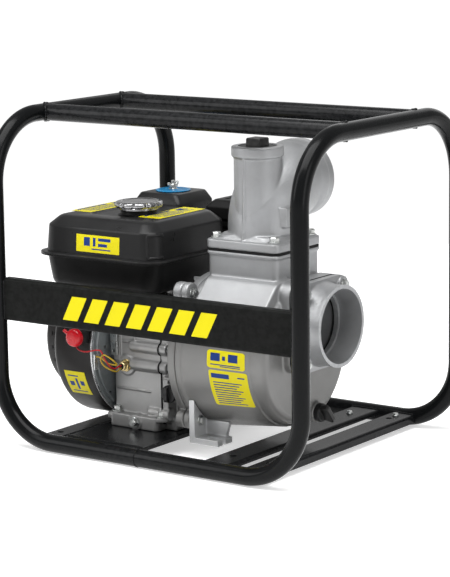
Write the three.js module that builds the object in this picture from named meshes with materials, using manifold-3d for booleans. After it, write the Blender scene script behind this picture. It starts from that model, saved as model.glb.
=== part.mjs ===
// Gas engine trash pump in a carrying frame: a horizontal-shaft petrol engine drives a
// 4 inch self-priming pump on the same shaft, inside a loop frame of bent steel tube.
// Millimetres. +X points from the recoil starter to the suction port, +Y to the rear,
// +Z up. The origin is on the ground under the middle of the frame.
import * as THREE from 'three';
import { mergeVertices } from 'three/addons/utils/BufferGeometryUtils.js';
import Module from 'manifold-3d';

// ---- Driving dimensions -------------------------------------------------------------

const GAP = 0.3; // clearance kept between touching pieces

// Frame
const TUBE_R = 12.7; // 1 inch tube
const FRAME_X = 265.4; // tube centres, half the frame's length
const FRAME_Y = 207.2; // tube centres, half the frame's depth
const FRAME_TOP = 479.65; // centre of the top tubes
const FRAME_LOW = TUBE_R; // centre of the bottom tubes
const BEND_R = 95;
const BEND_STEPS = 6;
const TUBE_SIDES = 16;
const SEAM_X = -12; // butt weld between the two bent halves
const TOP_RAIL_Y = 90.8;
const PANEL_Z = [186.5, 249];
const BAR_TOP = 20.5; // top face of the cross members under the pump
const BAR_Y = [-FRAME_Y + 9, FRAME_Y - 9]; // cross members run into the bottom rails

// Shaft line that the engine and the pump share
const SHAFT_Y = -30;
const SHAFT_Z = 142;
const SHAFT_R = 12.5;
const BASE = 25 - SHAFT_Z; // engine feet, measured from the shaft

// Engine, from the shaft line
const SHROUD_R = 112.6;
const SHROUD_Z = -4; // the shroud's round sits this far below the shaft
const SHROUD_X = [-219, -146];
const RECOIL_R = 87.4;
const RECOIL_FACE = -259;
const CASE_X = [-136, -50];
const CASE_FRONT = -70;
const CYL_TILT = THREE.MathUtils.degToRad(25); // cylinder above the horizontal
const TANK_X = -133.5;
const TANK_Y = -16;
const TANK_HALF = [105.5, 96];
const TANK_BASE = 88;
const TANK_SEAM = 137;
const TANK_TOP = 192.5;
const CAP_AT = [-120, -25];
const TANK_PAN_AT = [-142, -10]; // shallow pan round the filler cap
const TANK_PAN_HALF = [41, 82];
const CLEANER_AT = [-178, 136];
const CLEANER_TOP = 202.5;

// Pump, from the shaft line
const PORT_OUT = 56.5; // 4 inch port, outside
const PORT_IN = 50.5; // 4 inch port, bore
const MOUTH_R = 57.6; // the suction spout's rim
const SUCTION_Z = 54;
const MOUTH_X = 216;
const BODY_X = [6.6, 158];
const BODY_R = [113, 108.5];
const BODY_RISE = 12; // the end face sits this much higher than the flange
const NECK_X = 84;
const NECK_HALF = [60, 55];
const NECK_FLANGE = [62, 57];
const NECK_CORNER = 9;
const NECK_TOP = 154.5;
const FLANGE_Z = [158.1, 171];
const ELBOW_Z = 246; // axis of the discharge port
const ELBOW_BORE = 44;
const FILLER_Y = -12;
const FILLER_TOP = 303;
const EAR_Y = 82;
const EAR_Z = [96, -89]; // upper and lower ears

// ---- Solids -------------------------------------------------------------------------

const wasm = await Module();
wasm.setup();

// A closed three.js geometry as a manifold solid with its faces pointing out.
function solid(geometry) {
  const bare = geometry.index ? geometry.toNonIndexed() : geometry.clone();
  bare.deleteAttribute('normal');
  bare.deleteAttribute('uv');
  const merged = mergeVertices(bare, 1e-4);
  const vertProperties = merged.attributes.position.array;
  const triVerts = new Uint32Array(merged.index.array);
  const made = new wasm.Manifold(new wasm.Mesh({ numProp: 3, vertProperties, triVerts }));
  if (made.volume() > 0) return made;
  const flipped = triVerts.map((_, i) => triVerts[i - (i % 3) + 2 - (i % 3)]);
  return new wasm.Manifold(new wasm.Mesh({ numProp: 3, vertProperties, triVerts: flipped }));
}

function geometryOf(body) {
  const mesh = body.getMesh();
  const geometry = new THREE.BufferGeometry();
  geometry.setAttribute('position', new THREE.BufferAttribute(mesh.vertProperties, 3));
  geometry.setIndex(new THREE.BufferAttribute(mesh.triVerts, 1));
  geometry.computeVertexNormals();
  return geometry;
}

const join = (...bodies) => bodies.reduce((all, body) => all.add(body));
const cut = (body, ...tools) => tools.reduce((left, tool) => left.subtract(tool), body);

function block([x0, x1], [y0, y1], [z0, z1]) {
  const geometry = new THREE.BoxGeometry(x1 - x0, y1 - y0, z1 - z0);
  return solid(geometry.translate((x0 + x1) / 2, (y0 + y1) / 2, (z0 + z1) / 2));
}

// Turns a geometry built along +Y so that it runs along the named axis.
function along(geometry, axis) {
  if (axis === 'x') geometry.rotateZ(-Math.PI / 2);
  if (axis === 'z') geometry.rotateX(Math.PI / 2);
  return geometry;
}

// A profile of [radius, distance along the axis] pairs turned about an axis through centre.
function turned(axis, profile, centre = [0, 0, 0], sides = 28) {
  const points = profile.map(([r, h]) => new THREE.Vector2(r, h));
  if (profile[0][0] > 0) points.push(points[0].clone());
  const geometry = along(new THREE.LatheGeometry(points, sides), axis);
  return solid(geometry.translate(...centre));
}

// A round bar from one distance to another along an axis; centre gives its other two places.
function rod(axis, radius, [from, to], centre = [0, 0, 0], sides = 20, topRadius = radius) {
  return turned(axis, [[0, from], [radius, from], [topRadius, to], [0, to]], centre, sides);
}

// An outline pushed along an axis: Z takes (x, y), X takes (y, z) and Y takes (x, z).
function prism(axis, shape, [from, to], curveSegments = 2) {
  const geometry = new THREE.ExtrudeGeometry(shape, {
    depth: to - from,
    bevelEnabled: false,
    curveSegments,
  });
  geometry.translate(0, 0, from);
  const [x, y, z] = [[1, 0, 0], [0, 1, 0], [0, 0, 1]].map((v) => new THREE.Vector3(...v));
  if (axis === 'x') geometry.applyMatrix4(new THREE.Matrix4().makeBasis(y, z, x));
  if (axis === 'y') geometry.applyMatrix4(new THREE.Matrix4().makeBasis(x, z, y));
  return solid(geometry);
}

function outline(points) {
  return new THREE.Shape(points.map(([a, b]) => new THREE.Vector2(a, b)));
}

function roundedRect([a, b], [halfA, halfB], r) {
  const shape = new THREE.Shape();
  const corners = [[1, -1], [1, 1], [-1, 1], [-1, -1]];
  corners.forEach(([sa, sb], i) => {
    const start = (i - 1) * (Math.PI / 2);
    shape.absarc(a + sa * (halfA - r), b + sb * (halfB - r), r, start, start + Math.PI / 2);
  });
  return shape;
}

// A closed skin over rings of points that all have the same count, with flat ends.
function loft(rings) {
  const count = rings[0].length;
  const last = rings.length - 1;
  const points = rings.flat();
  const index = [];
  for (let r = 0; r < last; r++) {
    for (let i = 0; i < count; i++) {
      const j = (i + 1) % count;
      const [a, b] = [r * count + i, r * count + j];
      index.push(a, b, b + count, a, b + count, a + count);
    }
  }
  for (let i = 1; i < count - 1; i++) {
    index.push(0, i + 1, i);
    index.push(last * count, last * count + i, last * count + i + 1);
  }
  const geometry = new THREE.BufferGeometry().setFromPoints(points);
  geometry.setIndex(index);
  return solid(geometry);
}

// Rounded rectangles at rising heights: each level is [height, halfX, halfY, corner radius].
function tiers([cx, cy], levels, steps = 2) {
  return loft(
    levels.map(([z, halfX, halfY, r]) =>
      roundedRect([cx, cy], [halfX, halfY], r)
        .getPoints(steps)
        .filter((p, i, all) => i === 0 || p.distanceTo(all[i - 1]) > 1e-6)
        .filter((p, i, all) => i === 0 || p.distanceTo(all[0]) > 1e-6)
        .map((p) => new THREE.Vector3(p.x, p.y, z)),
    ),
  );
}

// A round tube along a smooth curve through the given points.
function bentRod(points, radius, sides, steps) {
  const path = new THREE.CatmullRomCurve3(points.map((p) => new THREE.Vector3(...p)));
  const section = new THREE.Shape().absarc(0, 0, radius, 0, Math.PI * 2);
  const curveSegments = sides / 2;
  return solid(
    new THREE.ExtrudeGeometry(section, { extrudePath: path, steps, curveSegments }),
  );
}

// ---- Scene graph --------------------------------------------------------------------

const pump = new THREE.Group();
const frameGroup = new THREE.Group();
const engineGroup = new THREE.Group();
const wetGroup = new THREE.Group();
engineGroup.position.set(0, SHAFT_Y, SHAFT_Z);
wetGroup.position.set(0, SHAFT_Y, SHAFT_Z);
pump.add(frameGroup, engineGroup, wetGroup);

const finish = (color, roughness, metalness) => ({ color, roughness, metalness });
const BLACK_PAINT = finish(0x17191b, 0.25, 0.1);
const TANK_PAINT = finish(0x26282a, 0.3, 0.1);
const CAST = finish(0xb4b6b8, 0.5, 0.8);
const ENGINE_CAST = finish(0x8f9294, 0.55, 0.7);
const ZINC = finish(0xc2c5c6, 0.3, 0.9);
const CHROME = finish(0xdedede, 0.12, 1);
const BRASS = finish(0xc9a24a, 0.3, 0.9);
const BLACK_PLASTIC = finish(0x1a1a1b, 0.5, 0);
const BLACK_RUBBER = finish(0x101010, 0.85, 0);
const RED_PLASTIC = finish(0xc3141c, 0.35, 0);
const YELLOW_PLASTIC = finish(0xd9b21a, 0.5, 0);

function add(group, name, body, look, place = [0, 0, 0], turn = [0, 0, 0]) {
  const mesh = new THREE.Mesh(geometryOf(body), new THREE.MeshStandardMaterial(look));
  mesh.name = name;
  mesh.position.set(...place);
  mesh.rotation.set(...turn);
  group.add(mesh);
}

// ---- Frame --------------------------------------------------------------------------

// Straight lengths and quarter bends, sampled only where the tube changes direction.
class TubePath extends THREE.Curve {
  constructor(corners) {
    super();
    this.stations = [];
    const at = corners.map((c) => new THREE.Vector3(...c));
    const heading = (i) => at[i + 1].clone().sub(at[i]).normalize();
    this.stations.push({ point: at[0], tangent: heading(0) });
    for (let i = 1; i < at.length - 1; i++) {
      const [into, out] = [heading(i - 1), heading(i)];
      const centre = at[i].clone().addScaledVector(into, -BEND_R).addScaledVector(out, BEND_R);
      for (let s = 0; s <= BEND_STEPS; s++) {
        const angle = (s / BEND_STEPS) * (Math.PI / 2);
        const [c, d] = [Math.cos(angle), Math.sin(angle)];
        const tangent = into.clone().multiplyScalar(c).addScaledVector(out, d);
        const arm = out.clone().multiplyScalar(-c).addScaledVector(into, d);
        this.stations.push({ point: centre.clone().addScaledVector(arm, BEND_R), tangent });
      }
    }
    this.stations.push({ point: at.at(-1), tangent: heading(at.length - 2) });
  }
  get steps() {
    return this.stations.length - 1;
  }
  getSpacedPoints() {
    return this.stations.map((s) => s.point);
  }
  getTangentAt(u) {
    return this.stations[Math.round(u * this.steps)].tangent.clone();
  }
}

// A 16-sided section with flats, not corners, along its own axes.
function tubeSection(radius = TUBE_R) {
  const section = new THREE.Shape();
  const reach = radius / Math.cos(Math.PI / TUBE_SIDES);
  for (let i = 0; i < TUBE_SIDES; i++) {
    const angle = ((i + 0.5) / TUBE_SIDES) * Math.PI * 2;
    const [a, b] = [reach * Math.cos(angle), reach * Math.sin(angle)];
    if (i === 0) section.moveTo(a, b);
    else section.lineTo(a, b);
  }
  return section;
}

// One bent half: from the front seam round the side of the frame to the rear seam.
function halfLoop(side, radius = TUBE_R, seamGap = GAP / 2) {
  const [x, y] = [side * FRAME_X, FRAME_Y];
  const seam = SEAM_X + side * seamGap;
  const path = new TubePath([
    [seam, -y, FRAME_LOW],
    [x, -y, FRAME_LOW],
    [x, -y, FRAME_TOP],
    [x, y, FRAME_TOP],
    [x, y, FRAME_LOW],
    [seam, y, FRAME_LOW],
  ]);
  const made = { extrudePath: path, steps: path.steps };
  return solid(new THREE.ExtrudeGeometry(tubeSection(radius), made));
}

// Copes the ends of a member to the frame tubes that it is welded to.
function coped(member) {
  return cut(member, ...[-1, 1].map((side) => halfLoop(side, TUBE_R + GAP, -1)));
}

function topRail(y) {
  const tube = prism('x', tubeSection(), [-FRAME_X, FRAME_X]);
  return coped(tube.translate([0, y, FRAME_TOP]));
}

// A folded sheet across the frame with a lip down its left side (-1), its right side (1) or both.
function foldedBar([x0, x1], top, depth, sheet, lips) {
  const flat = block([x0, x1], BAR_Y, [top - sheet, top]);
  const folded = lips.map((end) => {
    const span = end < 0 ? [x0, x0 + sheet] : [x1 - sheet, x1];
    return block(span, BAR_Y, [top - depth, top]);
  });
  return coped(join(flat, ...folded));
}

function drilled(bar, x, places, radius) {
  const holes = places.map((y) => rod('z', radius, [0, 40], [x, y, 0], 12));
  return cut(bar, ...holes);
}

function frontPanel() {
  const [low, high] = PANEL_Z;
  const [face, lip, sheet] = [-FRAME_Y - 2, 15, 2];
  const section = outline([
    [face, low],
    [face + lip, low],
    [face + lip, low + sheet],
    [face + sheet, low + sheet],
    [face + sheet, high - sheet],
    [face + lip, high - sheet],
    [face + lip, high],
    [face, high],
  ]);
  return coped(prism('x', section, [-FRAME_X, FRAME_X]));
}

function buildFrame() {
  add(frameGroup, 'frame_loop_left', halfLoop(-1), BLACK_PAINT);
  add(frameGroup, 'frame_loop_right', halfLoop(1), BLACK_PAINT);
  add(frameGroup, 'top_rail_front', topRail(-TOP_RAIL_Y), BLACK_PAINT);
  add(frameGroup, 'top_rail_rear', topRail(TOP_RAIL_Y), BLACK_PAINT);
  add(frameGroup, 'front_panel', frontPanel(), BLACK_PAINT);
  const leftBar = drilled(foldedBar([-200, -166], BAR_TOP, 16, 3, [-1]), -181, [-172, 172], 4);
  add(frameGroup, 'cross_bar_left', leftBar, BLACK_PAINT);
  const plateTop = SHAFT_Z + BASE - GAP;
  const plate = block([-150, -12], BAR_Y, [plateTop - 6, plateTop]);
  add(frameGroup, 'engine_plate', coped(plate), BLACK_PAINT);
  const channel = foldedBar([88, 136], BAR_TOP, 17, 3, [-1, 1]);
  add(frameGroup, 'cross_channel', channel, BLACK_PAINT);
  const rightBar = drilled(foldedBar([163, 199], BAR_TOP, 18, 3, [1]), 178, [-157, 157], 4.5);
  add(frameGroup, 'cross_bar_right', rightBar, BLACK_PAINT);
}

// ---- Engine -------------------------------------------------------------------------

// A body built along the cylinder's own axis, tilted back about the shaft.
const tilted = (body) => body.rotate([(CYL_TILT * 180) / Math.PI, 0, 0]);
const CYL_X = (CASE_X[0] + CASE_X[1]) / 2;
const BORE_R = 36;
const BARREL_END = 118;
const HEAD_END = 150;

function coolingFins(from, to, halfX, halfZ, count) {
  const pitch = (to - from) / count;
  return Array.from({ length: count }, (_, i) => {
    const y = from + (i + 0.5) * pitch;
    return block([CYL_X - halfX, CYL_X + halfX], [y - 1.5, y + 1.5], [-halfZ, halfZ]);
  });
}

function crankcase() {
  const [x0, x1] = CASE_X;
  const side = [
    [CASE_FRONT, BASE + 10],
    [72, BASE + 10],
    [78, -40],
    [60, 66],
    [10, 78],
    [-44, 74],
    [CASE_FRONT, 44],
  ];
  const inside = side.map(([y, z]) => [y * 0.9, z * 0.9 + (z < 0 ? -1 : -2)]);
  const foot = roundedRect([(x1 - 138) / 2, -5], [(x1 + 138) / 2, 78], 8);
  const barrel = tilted(join(
    block([CYL_X - 38, CYL_X + 38], [40, BARREL_END], [-40, 40]),
    ...coolingFins(76, BARREL_END, 43, 45, 4),
  ));
  const walls = join(
    prism('x', outline(side), [x0, x1]),
    prism('z', foot, [BASE, BASE + 22]),
    barrel,
    ...[-118, -66].map((x) => rod('z', 9, [60, TANK_BASE - GAP], [x, -20, 0], 16)),
    ...[-30, 0, 30].map((z) => block([x0 + 14, x1], [CASE_FRONT - 3, -60], [z - 1.5, z + 1.5])),
    ...[[-66, 30], [-66, -22], [-66, -93]].map(([y, z]) => rod('x', 9, [-74, x1], [0, y, z], 16)),
  );
  return cut(
    walls,
    prism('x', outline(inside), [x0 + 6, x1 + 1]),
    rod('x', 13, [x0 - 8, x0 + 8], [0, 0, 0], 24),
    tilted(rod('y', BORE_R, [30, BARREL_END + 5], [CYL_X, 0, 0], 24)),
    ...[[-130, -76], [-56, -76], [-130, 66], [-56, 66]].map(([x, y]) =>
      rod('z', 5, [BASE - 1, BASE + 30], [x, y, 0], 12),
    ),
    rod('y', 5.3, [-90, -70], [-90, 0, BASE + 10], 12),
  );
}

const OIL_AT = [-31.8, -59]; // filler plug, seen from the front

function crankcaseCover() {
  const [x0, x1] = [CASE_X[1] + GAP, -22];
  const body = join(
    rod('x', 72, [x0, x1 - 8], [0, 0, 0], 32, 70),
    rod('x', 66, [x0, x1], [0, 0, 0], 28),
    block([x0, x0 + 12], [CASE_FRONT, 70], [BASE + 10, -30]),
    block([x0, x1 - 4], [-50, -28], [BASE + 12, -20]),
    block([x0, -30], [-62, 50], [BASE, BASE + 20]),
    ...[[-66, 30], [-66, -22], [-66, -93]].map(([y, z]) =>
      rod('x', 9, [x0, x0 + 18], [0, y, z], 16),
    ),
  );
  return cut(
    body,
    rod('x', SHAFT_R + 1, [x0 - 1, x1 + 1], [0, 0, 0], 24),
    rod('x', 60, [x0 - 1, x1 - 8], [0, 0, 0], 24),
    rod('y', 10.5, [-80, -40], [OIL_AT[0], 0, OIL_AT[1]], 20),
  );
}

function cylinderHead() {
  const from = BARREL_END + GAP;
  const [inletZ, portR] = [4, 11];
  const body = join(
    block([CYL_X - 38, CYL_X + 38], [from, HEAD_END], [-40, 40]),
    ...coolingFins(from + 6, HEAD_END - 2, 44, 46, 3),
    rod('x', 15, [CYL_X - 46, CYL_X + 46], [0, 134.5, inletZ], 20),
  );
  const ports = [[-47, -20], [20, 47]].map(([a, b]) =>
    rod('x', portR, [CYL_X + a, CYL_X + b], [0, 134.5, inletZ], 16),
  );
  const plug = rod('z', 7.3, [24, 60], [CYL_X, 130, 0], 16);
  return tilted(cut(body, ...ports, plug));
}

function rockerCover() {
  const levels = [
    [HEAD_END + GAP, 34, 36, 10],
    [HEAD_END + 18, 33, 35, 10],
    [HEAD_END + 26, 26, 28, 8],
  ];
  const cover = tiers([0, 0], levels).rotate([-90, 0, 0]);
  return tilted(cover.translate([CYL_X, 0, 0]));
}

// The fan shroud: a round drum cut flat under the tank, open towards the engine.
function fanShroud() {
  const [x0, x1] = SHROUD_X;
  const [sheet, flatTop] = [2.5, 86];
  const shell = (r, from, to, top, rear) => {
    const round = rod('x', r, [from, to], [0, 0, SHROUD_Z], 40);
    const duct = block([from, to], [0, rear], [-30, top]);
    return cut(join(round, duct), block([from - 5, to + 5], [-200, 200], [top, 200]));
  };
  const inner = shell(SHROUD_R - sheet, x0 + sheet, x1 + 5, flatTop - sheet, 104 - sheet);
  return cut(
    shell(SHROUD_R, x0, x1, flatTop, 104),
    inner,
    rod('x', 84, [x0 - 1, x0 + sheet + 1], [0, 0, 0], 32),
  );
}

// The starter rope leaves the cover's bevel and is pulled out through the frame's left side.
const PULL_AT = [RECOIL_FACE + 5, -66, 42];
const PULL_ALONG = new THREE.Vector3(-0.88, -0.33, 0.34).normalize();
const PULL_TURN = new THREE.Quaternion().setFromUnitVectors(
  new THREE.Vector3(0, 1, 0),
  PULL_ALONG,
);

// Domed starter cover with a ring of air slots.
function recoilCover() {
  const rim = SHROUD_X[0] - GAP;
  const profile = [
    [0, RECOIL_FACE],
    [62, RECOIL_FACE],
    [79, RECOIL_FACE + 3],
    [RECOIL_R - 1, RECOIL_FACE + 8],
    [RECOIL_R, rim],
    [RECOIL_R - 3, rim],
    [RECOIL_R - 4, RECOIL_FACE + 11],
    [77, RECOIL_FACE + 6],
    [61, RECOIL_FACE + 3],
    [0, RECOIL_FACE + 3],
  ];
  const slots = Array.from({ length: 10 }, (_, i) => {
    const slot = block([RECOIL_FACE - 1, RECOIL_FACE + 20], [-5, 5], [40, 68]);
    return slot.rotate([18 + i * 36, 0, 0]);
  });
  const cover = turned('x', profile, [0, 0, 0], 32);
  const ropeEye = solid(
    new THREE.CylinderGeometry(4, 4, 24, 12)
      .applyQuaternion(PULL_TURN)
      .translate(...PULL_AT),
  );
  return cut(cover, ...slots, ropeEye);
}

// T-grip that stands off the rope eye; its own +Y runs out along the pull.
function pullGrip() {
  return join(
    rod('y', 3, [-2, 6], [0, 0, 0], 10),
    rod('y', 7, [5, 10], [0, 0, 0], 12),
    block([-6, 6], [7, 15], [-18, 18]),
  );
}

function flywheel() {
  const [x0, x1] = [-204, -166];
  const blades = Array.from({ length: 12 }, (_, i) =>
    block([x0, x0 + 14.5], [54, 77], [-1.5, 1.5]).rotate([i * 30, 0, 0]),
  );
  const wheel = turned('x', [
    [SHAFT_R + GAP + 0.3, x0 + 10],
    [80, x0 + 14],
    [80, x1],
    [68, x1],
    [64, x0 + 24],
    [SHAFT_R + GAP + 0.3, x0 + 24],
  ], [0, 0, 0], 28);
  return join(wheel, ...blades);
}

function crankshaft() {
  const webs = [[-112, -100], [-86, -74]].map((span) => rod('x', 38, span, [0, 0, 0], 20));
  return join(
    rod('x', SHAFT_R, [-212, 44], [0, 0, 0], 16),
    ...webs,
    rod('x', 13, [-101, -85], [0, 22, 0], 16),
  );
}

function piston() {
  const crown = rod('y', BORE_R - 0.6, [88, 112], [0, 0, 0], 24);
  return cut(crown, rod('y', BORE_R - 6, [87, 104], [0, 0, 0], 24));
}

// Zinc-plated plate that closes the shroud on the engine side.
function bafflePlate() {
  const disc = rod('x', SHROUD_R - 1, [-144.5, -142.5], [0, 0, SHROUD_Z], 40);
  return cut(
    disc,
    block([-150, -140], [-200, 200], [80, 200]),
    block([-150, -140], [-200, 200], [-200, BASE + 12]),
    rod('x', 30, [-150, -140], [0, 0, 0], 24),
  );
}

const TANK_CENTRE = [TANK_X, TANK_Y];
const TANK_WALL = 2.5;

function tankUpper() {
  const [hx, hy] = TANK_HALF;
  const seam = TANK_SEAM;
  const levels = [
    [seam, hx - 1, hy, 26],
    [178.5, hx - 3, hy - 3, 26],
    [190.6, hx - 18, hy - 18, 17],
    [TANK_TOP, hx - 26, hy - 26, 14],
  ];
  const hollow = levels.map(([z, a, b, r]) => [z - TANK_WALL, a - TANK_WALL, b - TANK_WALL, r - 2]);
  hollow[0][0] = seam - 1;
  const flange = roundedRect(TANK_CENTRE, [hx + 8, hy + 8], 32);
  const neck = [...CAP_AT, 0];
  const skin = cut(
    join(
      tiers(TANK_CENTRE, levels),
      prism('z', flange, [seam, seam + 2]),
    ),
    tiers(TANK_CENTRE, hollow),
    prism('z', roundedRect(TANK_PAN_AT, TANK_PAN_HALF, 9), [TANK_TOP - 1, TANK_TOP + 1]),
  );
  return cut(
    join(skin, rod('z', 27, [TANK_TOP - 2, TANK_TOP + 6], neck, 28)),
    rod('z', 23, [TANK_TOP - 8, TANK_TOP + 7], neck, 24),
  );
}

function tankLower() {
  const [hx, hy] = TANK_HALF;
  const seam = TANK_SEAM - GAP;
  const levels = [
    [TANK_BASE, hx - 12, hy - 12, 18],
    [94, hx - 6, hy - 5, 24],
    [seam, hx - 1, hy, 26],
  ];
  const hollow = levels.map(([z, a, b, r]) => [z + TANK_WALL, a - TANK_WALL, b - TANK_WALL, r - 2]);
  const flange = roundedRect(TANK_CENTRE, [hx + 8, hy + 8], 32);
  const skin = join(tiers(TANK_CENTRE, levels), prism('z', flange, [seam - 2, seam]));
  return cut(skin, tiers(TANK_CENTRE, hollow));
}

// Pressed cap with finger flutes round its rim.
function fuelCap() {
  const [lobes, low, high] = [12, 0, 12];
  const flutes = Array.from({ length: lobes }, (_, i) => {
    const angle = (i / lobes) * Math.PI * 2;
    const place = [38 * Math.cos(angle), 38 * Math.sin(angle), 0];
    return rod('z', 5.2, [low - 1, high - 3], place, 8);
  });
  const crown = turned('z', [
    [0, low],
    [34, low],
    [35, low + 2],
    [35, high - 3],
    [31, high],
    [0, high],
  ], [0, 0, 0], 36);
  return cut(crown, ...flutes);
}

function cleanerCover() {
  return tiers(CLEANER_AT, [
    [148, 46, 46, 8],
    [CLEANER_TOP - 14, 46, 46, 8],
    [CLEANER_TOP, 35, 38, 6],
  ]);
}

function wingNut() {
  const wing = (side) =>
    block([-2, 2], [side > 0 ? 3 : -14, side > 0 ? 14 : -3], [3, 14]).rotate([side * 14, 0, 0]);
  const boss = rod('z', 6, [0, 8], [0, 0, 0], 12);
  const stud = rod('z', 2.5, [8, 16], [0, 0, 0], 8);
  return join(boss, stud, wing(1), wing(-1));
}

function carburettor() {
  return join(
    block([-186, -152], [112, 146], [64, 104]),
    rod('z', 17, [46, 64.5], [-169, 129, 0], 20),
    rod('z', 16, [103, 129.7], [-169, 129, 0], 20),
    rod('x', 11, [-153, -139.5], [0, 121, 78], 16),
  );
}

// A lever pivoted at its own origin and turning about X, with a round thumb end.
function lever(length) {
  return join(
    rod('x', 5, [-2, 2], [0, 0, 0], 14),
    block([-1.5, 1.5], [-3, 3], [0, length]),
    rod('x', 6, [-4, 4], [0, 0, length], 14),
  );
}

const GUARD_X = [-88, -4];
const GUARD_Y = [92, 182];
const GUARD_Z = [122, 200];

function mufflerGuard() {
  const [cx, cy] = [(GUARD_X[0] + GUARD_X[1]) / 2, (GUARD_Y[0] + GUARD_Y[1]) / 2];
  const [hx, hy] = [(GUARD_X[1] - GUARD_X[0]) / 2, (GUARD_Y[1] - GUARD_Y[0]) / 2];
  const [low, high] = GUARD_Z;
  const skin = tiers([cx, cy], [[low, hx, hy, 8], [high - 10, hx, hy, 8], [high, hx - 10, hy - 10, 6]]);
  const space = tiers([cx, cy], [
    [low - 1, hx - 2, hy - 2, 6],
    [high - 11, hx - 2, hy - 2, 6],
    [high - 2, hx - 11, hy - 11, 5],
  ]);
  return cut(skin, space);
}

function muffler() {
  const body = rod('x', 32, [-82, -10], [0, 134, 158], 28);
  const inlet = rod('z', 14, [112, 140], [-56, 131, 0], 16);
  return join(body, inlet);
}

function sparkPlug() {
  return tilted(join(
    rod('z', 6.8, [26, 48], [CYL_X, 130, 0], 16),
    rod('z', 10, [46.5, 64], [CYL_X, 130, 0], 16),
  ));
}

function hexBolt(across, head, shankR, shankL, washerR = across * 0.62) {
  return join(
    rod('z', across / Math.sqrt(3), [1.4, head + 1.4], [0, 0, 0], 6),
    rod('z', washerR, [0, 1.6], [0, 0, 0], 12),
    rod('z', shankR, [-shankL, 0.2], [0, 0, 0], 8),
  );
}

const SWITCH_AT = [-158, -130.5, 21];
const GLAND_AT = [-112, CASE_FRONT - 3 - GAP, -26];

function switchBox() {
  const [x, , z] = SWITCH_AT;
  const box = block([x - 14, x + 8], [-130, -100], [z - 12, z + 12]);
  return cut(box, rod('x', SHROUD_R + GAP + 0.4, [-260, -100], [0, 0, SHROUD_Z], 48));
}

function switchKnob() {
  return join(
    turned('y', [[0, 0], [12, 0], [13.2, -3], [13.2, -7.5], [9, -12], [0, -13]], [0, 0, 0], 24),
    block([-20, -8], [-9, -3], [-2.5, 2.5]).rotate([0, 30, 0]),
  );
}

// The two leads hang between the switch, a clip on the baffle and the gland.
const STOP_LEAD = [
  [-168, -120, 8.6],
  [-166.9, -120.8, 5.1],
  [-163.9, -121.4, 2],
  [-158.8, -121.8, -0.4],
  [-151.9, -121.6, -1.4],
  [-144.5, -121, -0.7],
  [-137.4, -120, 1.1],
  [-131, -118.6, 2.4],
  [-125.8, -117.2, 2.2],
  [-123.2, -116, -0.7],
  [-121.9, -115, -4.9],
  [-120.5, -113.4, -9.8],
  [-118.9, -111.2, -14.7],
  [-117.1, -108.6, -19.7],
  [-115.1, -105.2, -23.9],
  [-113.3, -101, -26],
  [-112.4, -96, -26],
  [-112, -91, -24.6],
  [-112, -88, -24.2],
  [-112, -85.6, -24.2],
];
const SENSOR_LEAD = [
  [-138.9, -109.8, -9.5],
  [-134.2, -109, -10],
  [-130.6, -107.4, -11.8],
  [-127, -105.6, -15.2],
  [-122.8, -103.6, -18.6],
  [-117.7, -101.4, -20.4],
  [-111.8, -100.6, -20.8],
  [-106, -103.4, -19.6],
  [-102.8, -108.2, -16.2],
  [-103.8, -112.4, -12.2],
  [-107.2, -115.2, -8.3],
  [-111.8, -117.8, -4.8],
  [-116.7, -119.2, -3.1],
  [-121, -119.6, -5.9],
  [-123.2, -118.8, -11.3],
  [-121.8, -117, -17],
  [-118.3, -115, -21.4],
  [-113.7, -111.6, -24.9],
  [-109.6, -106.6, -28.2],
  [-108.8, -100, -30.2],
  [-110.4, -94, -29.6],
  [-112, -89.4, -28.5],
  [-112, -85.6, -28.3],
];


function gland() {
  return join(
    rod('y', 10.5, [-6, 0], [0, 0, 0], 6),
    rod('y', 7, [-12, -5], [0, 0, 0], 16),
  );
}

function leadClip() {
  return join(
    block([-142.2, -140.2], [-112, -100], [-30, -6]),
    block([-142.2, -139.4], [-112, -107], [-12.5, -6]),
  );
}

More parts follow.
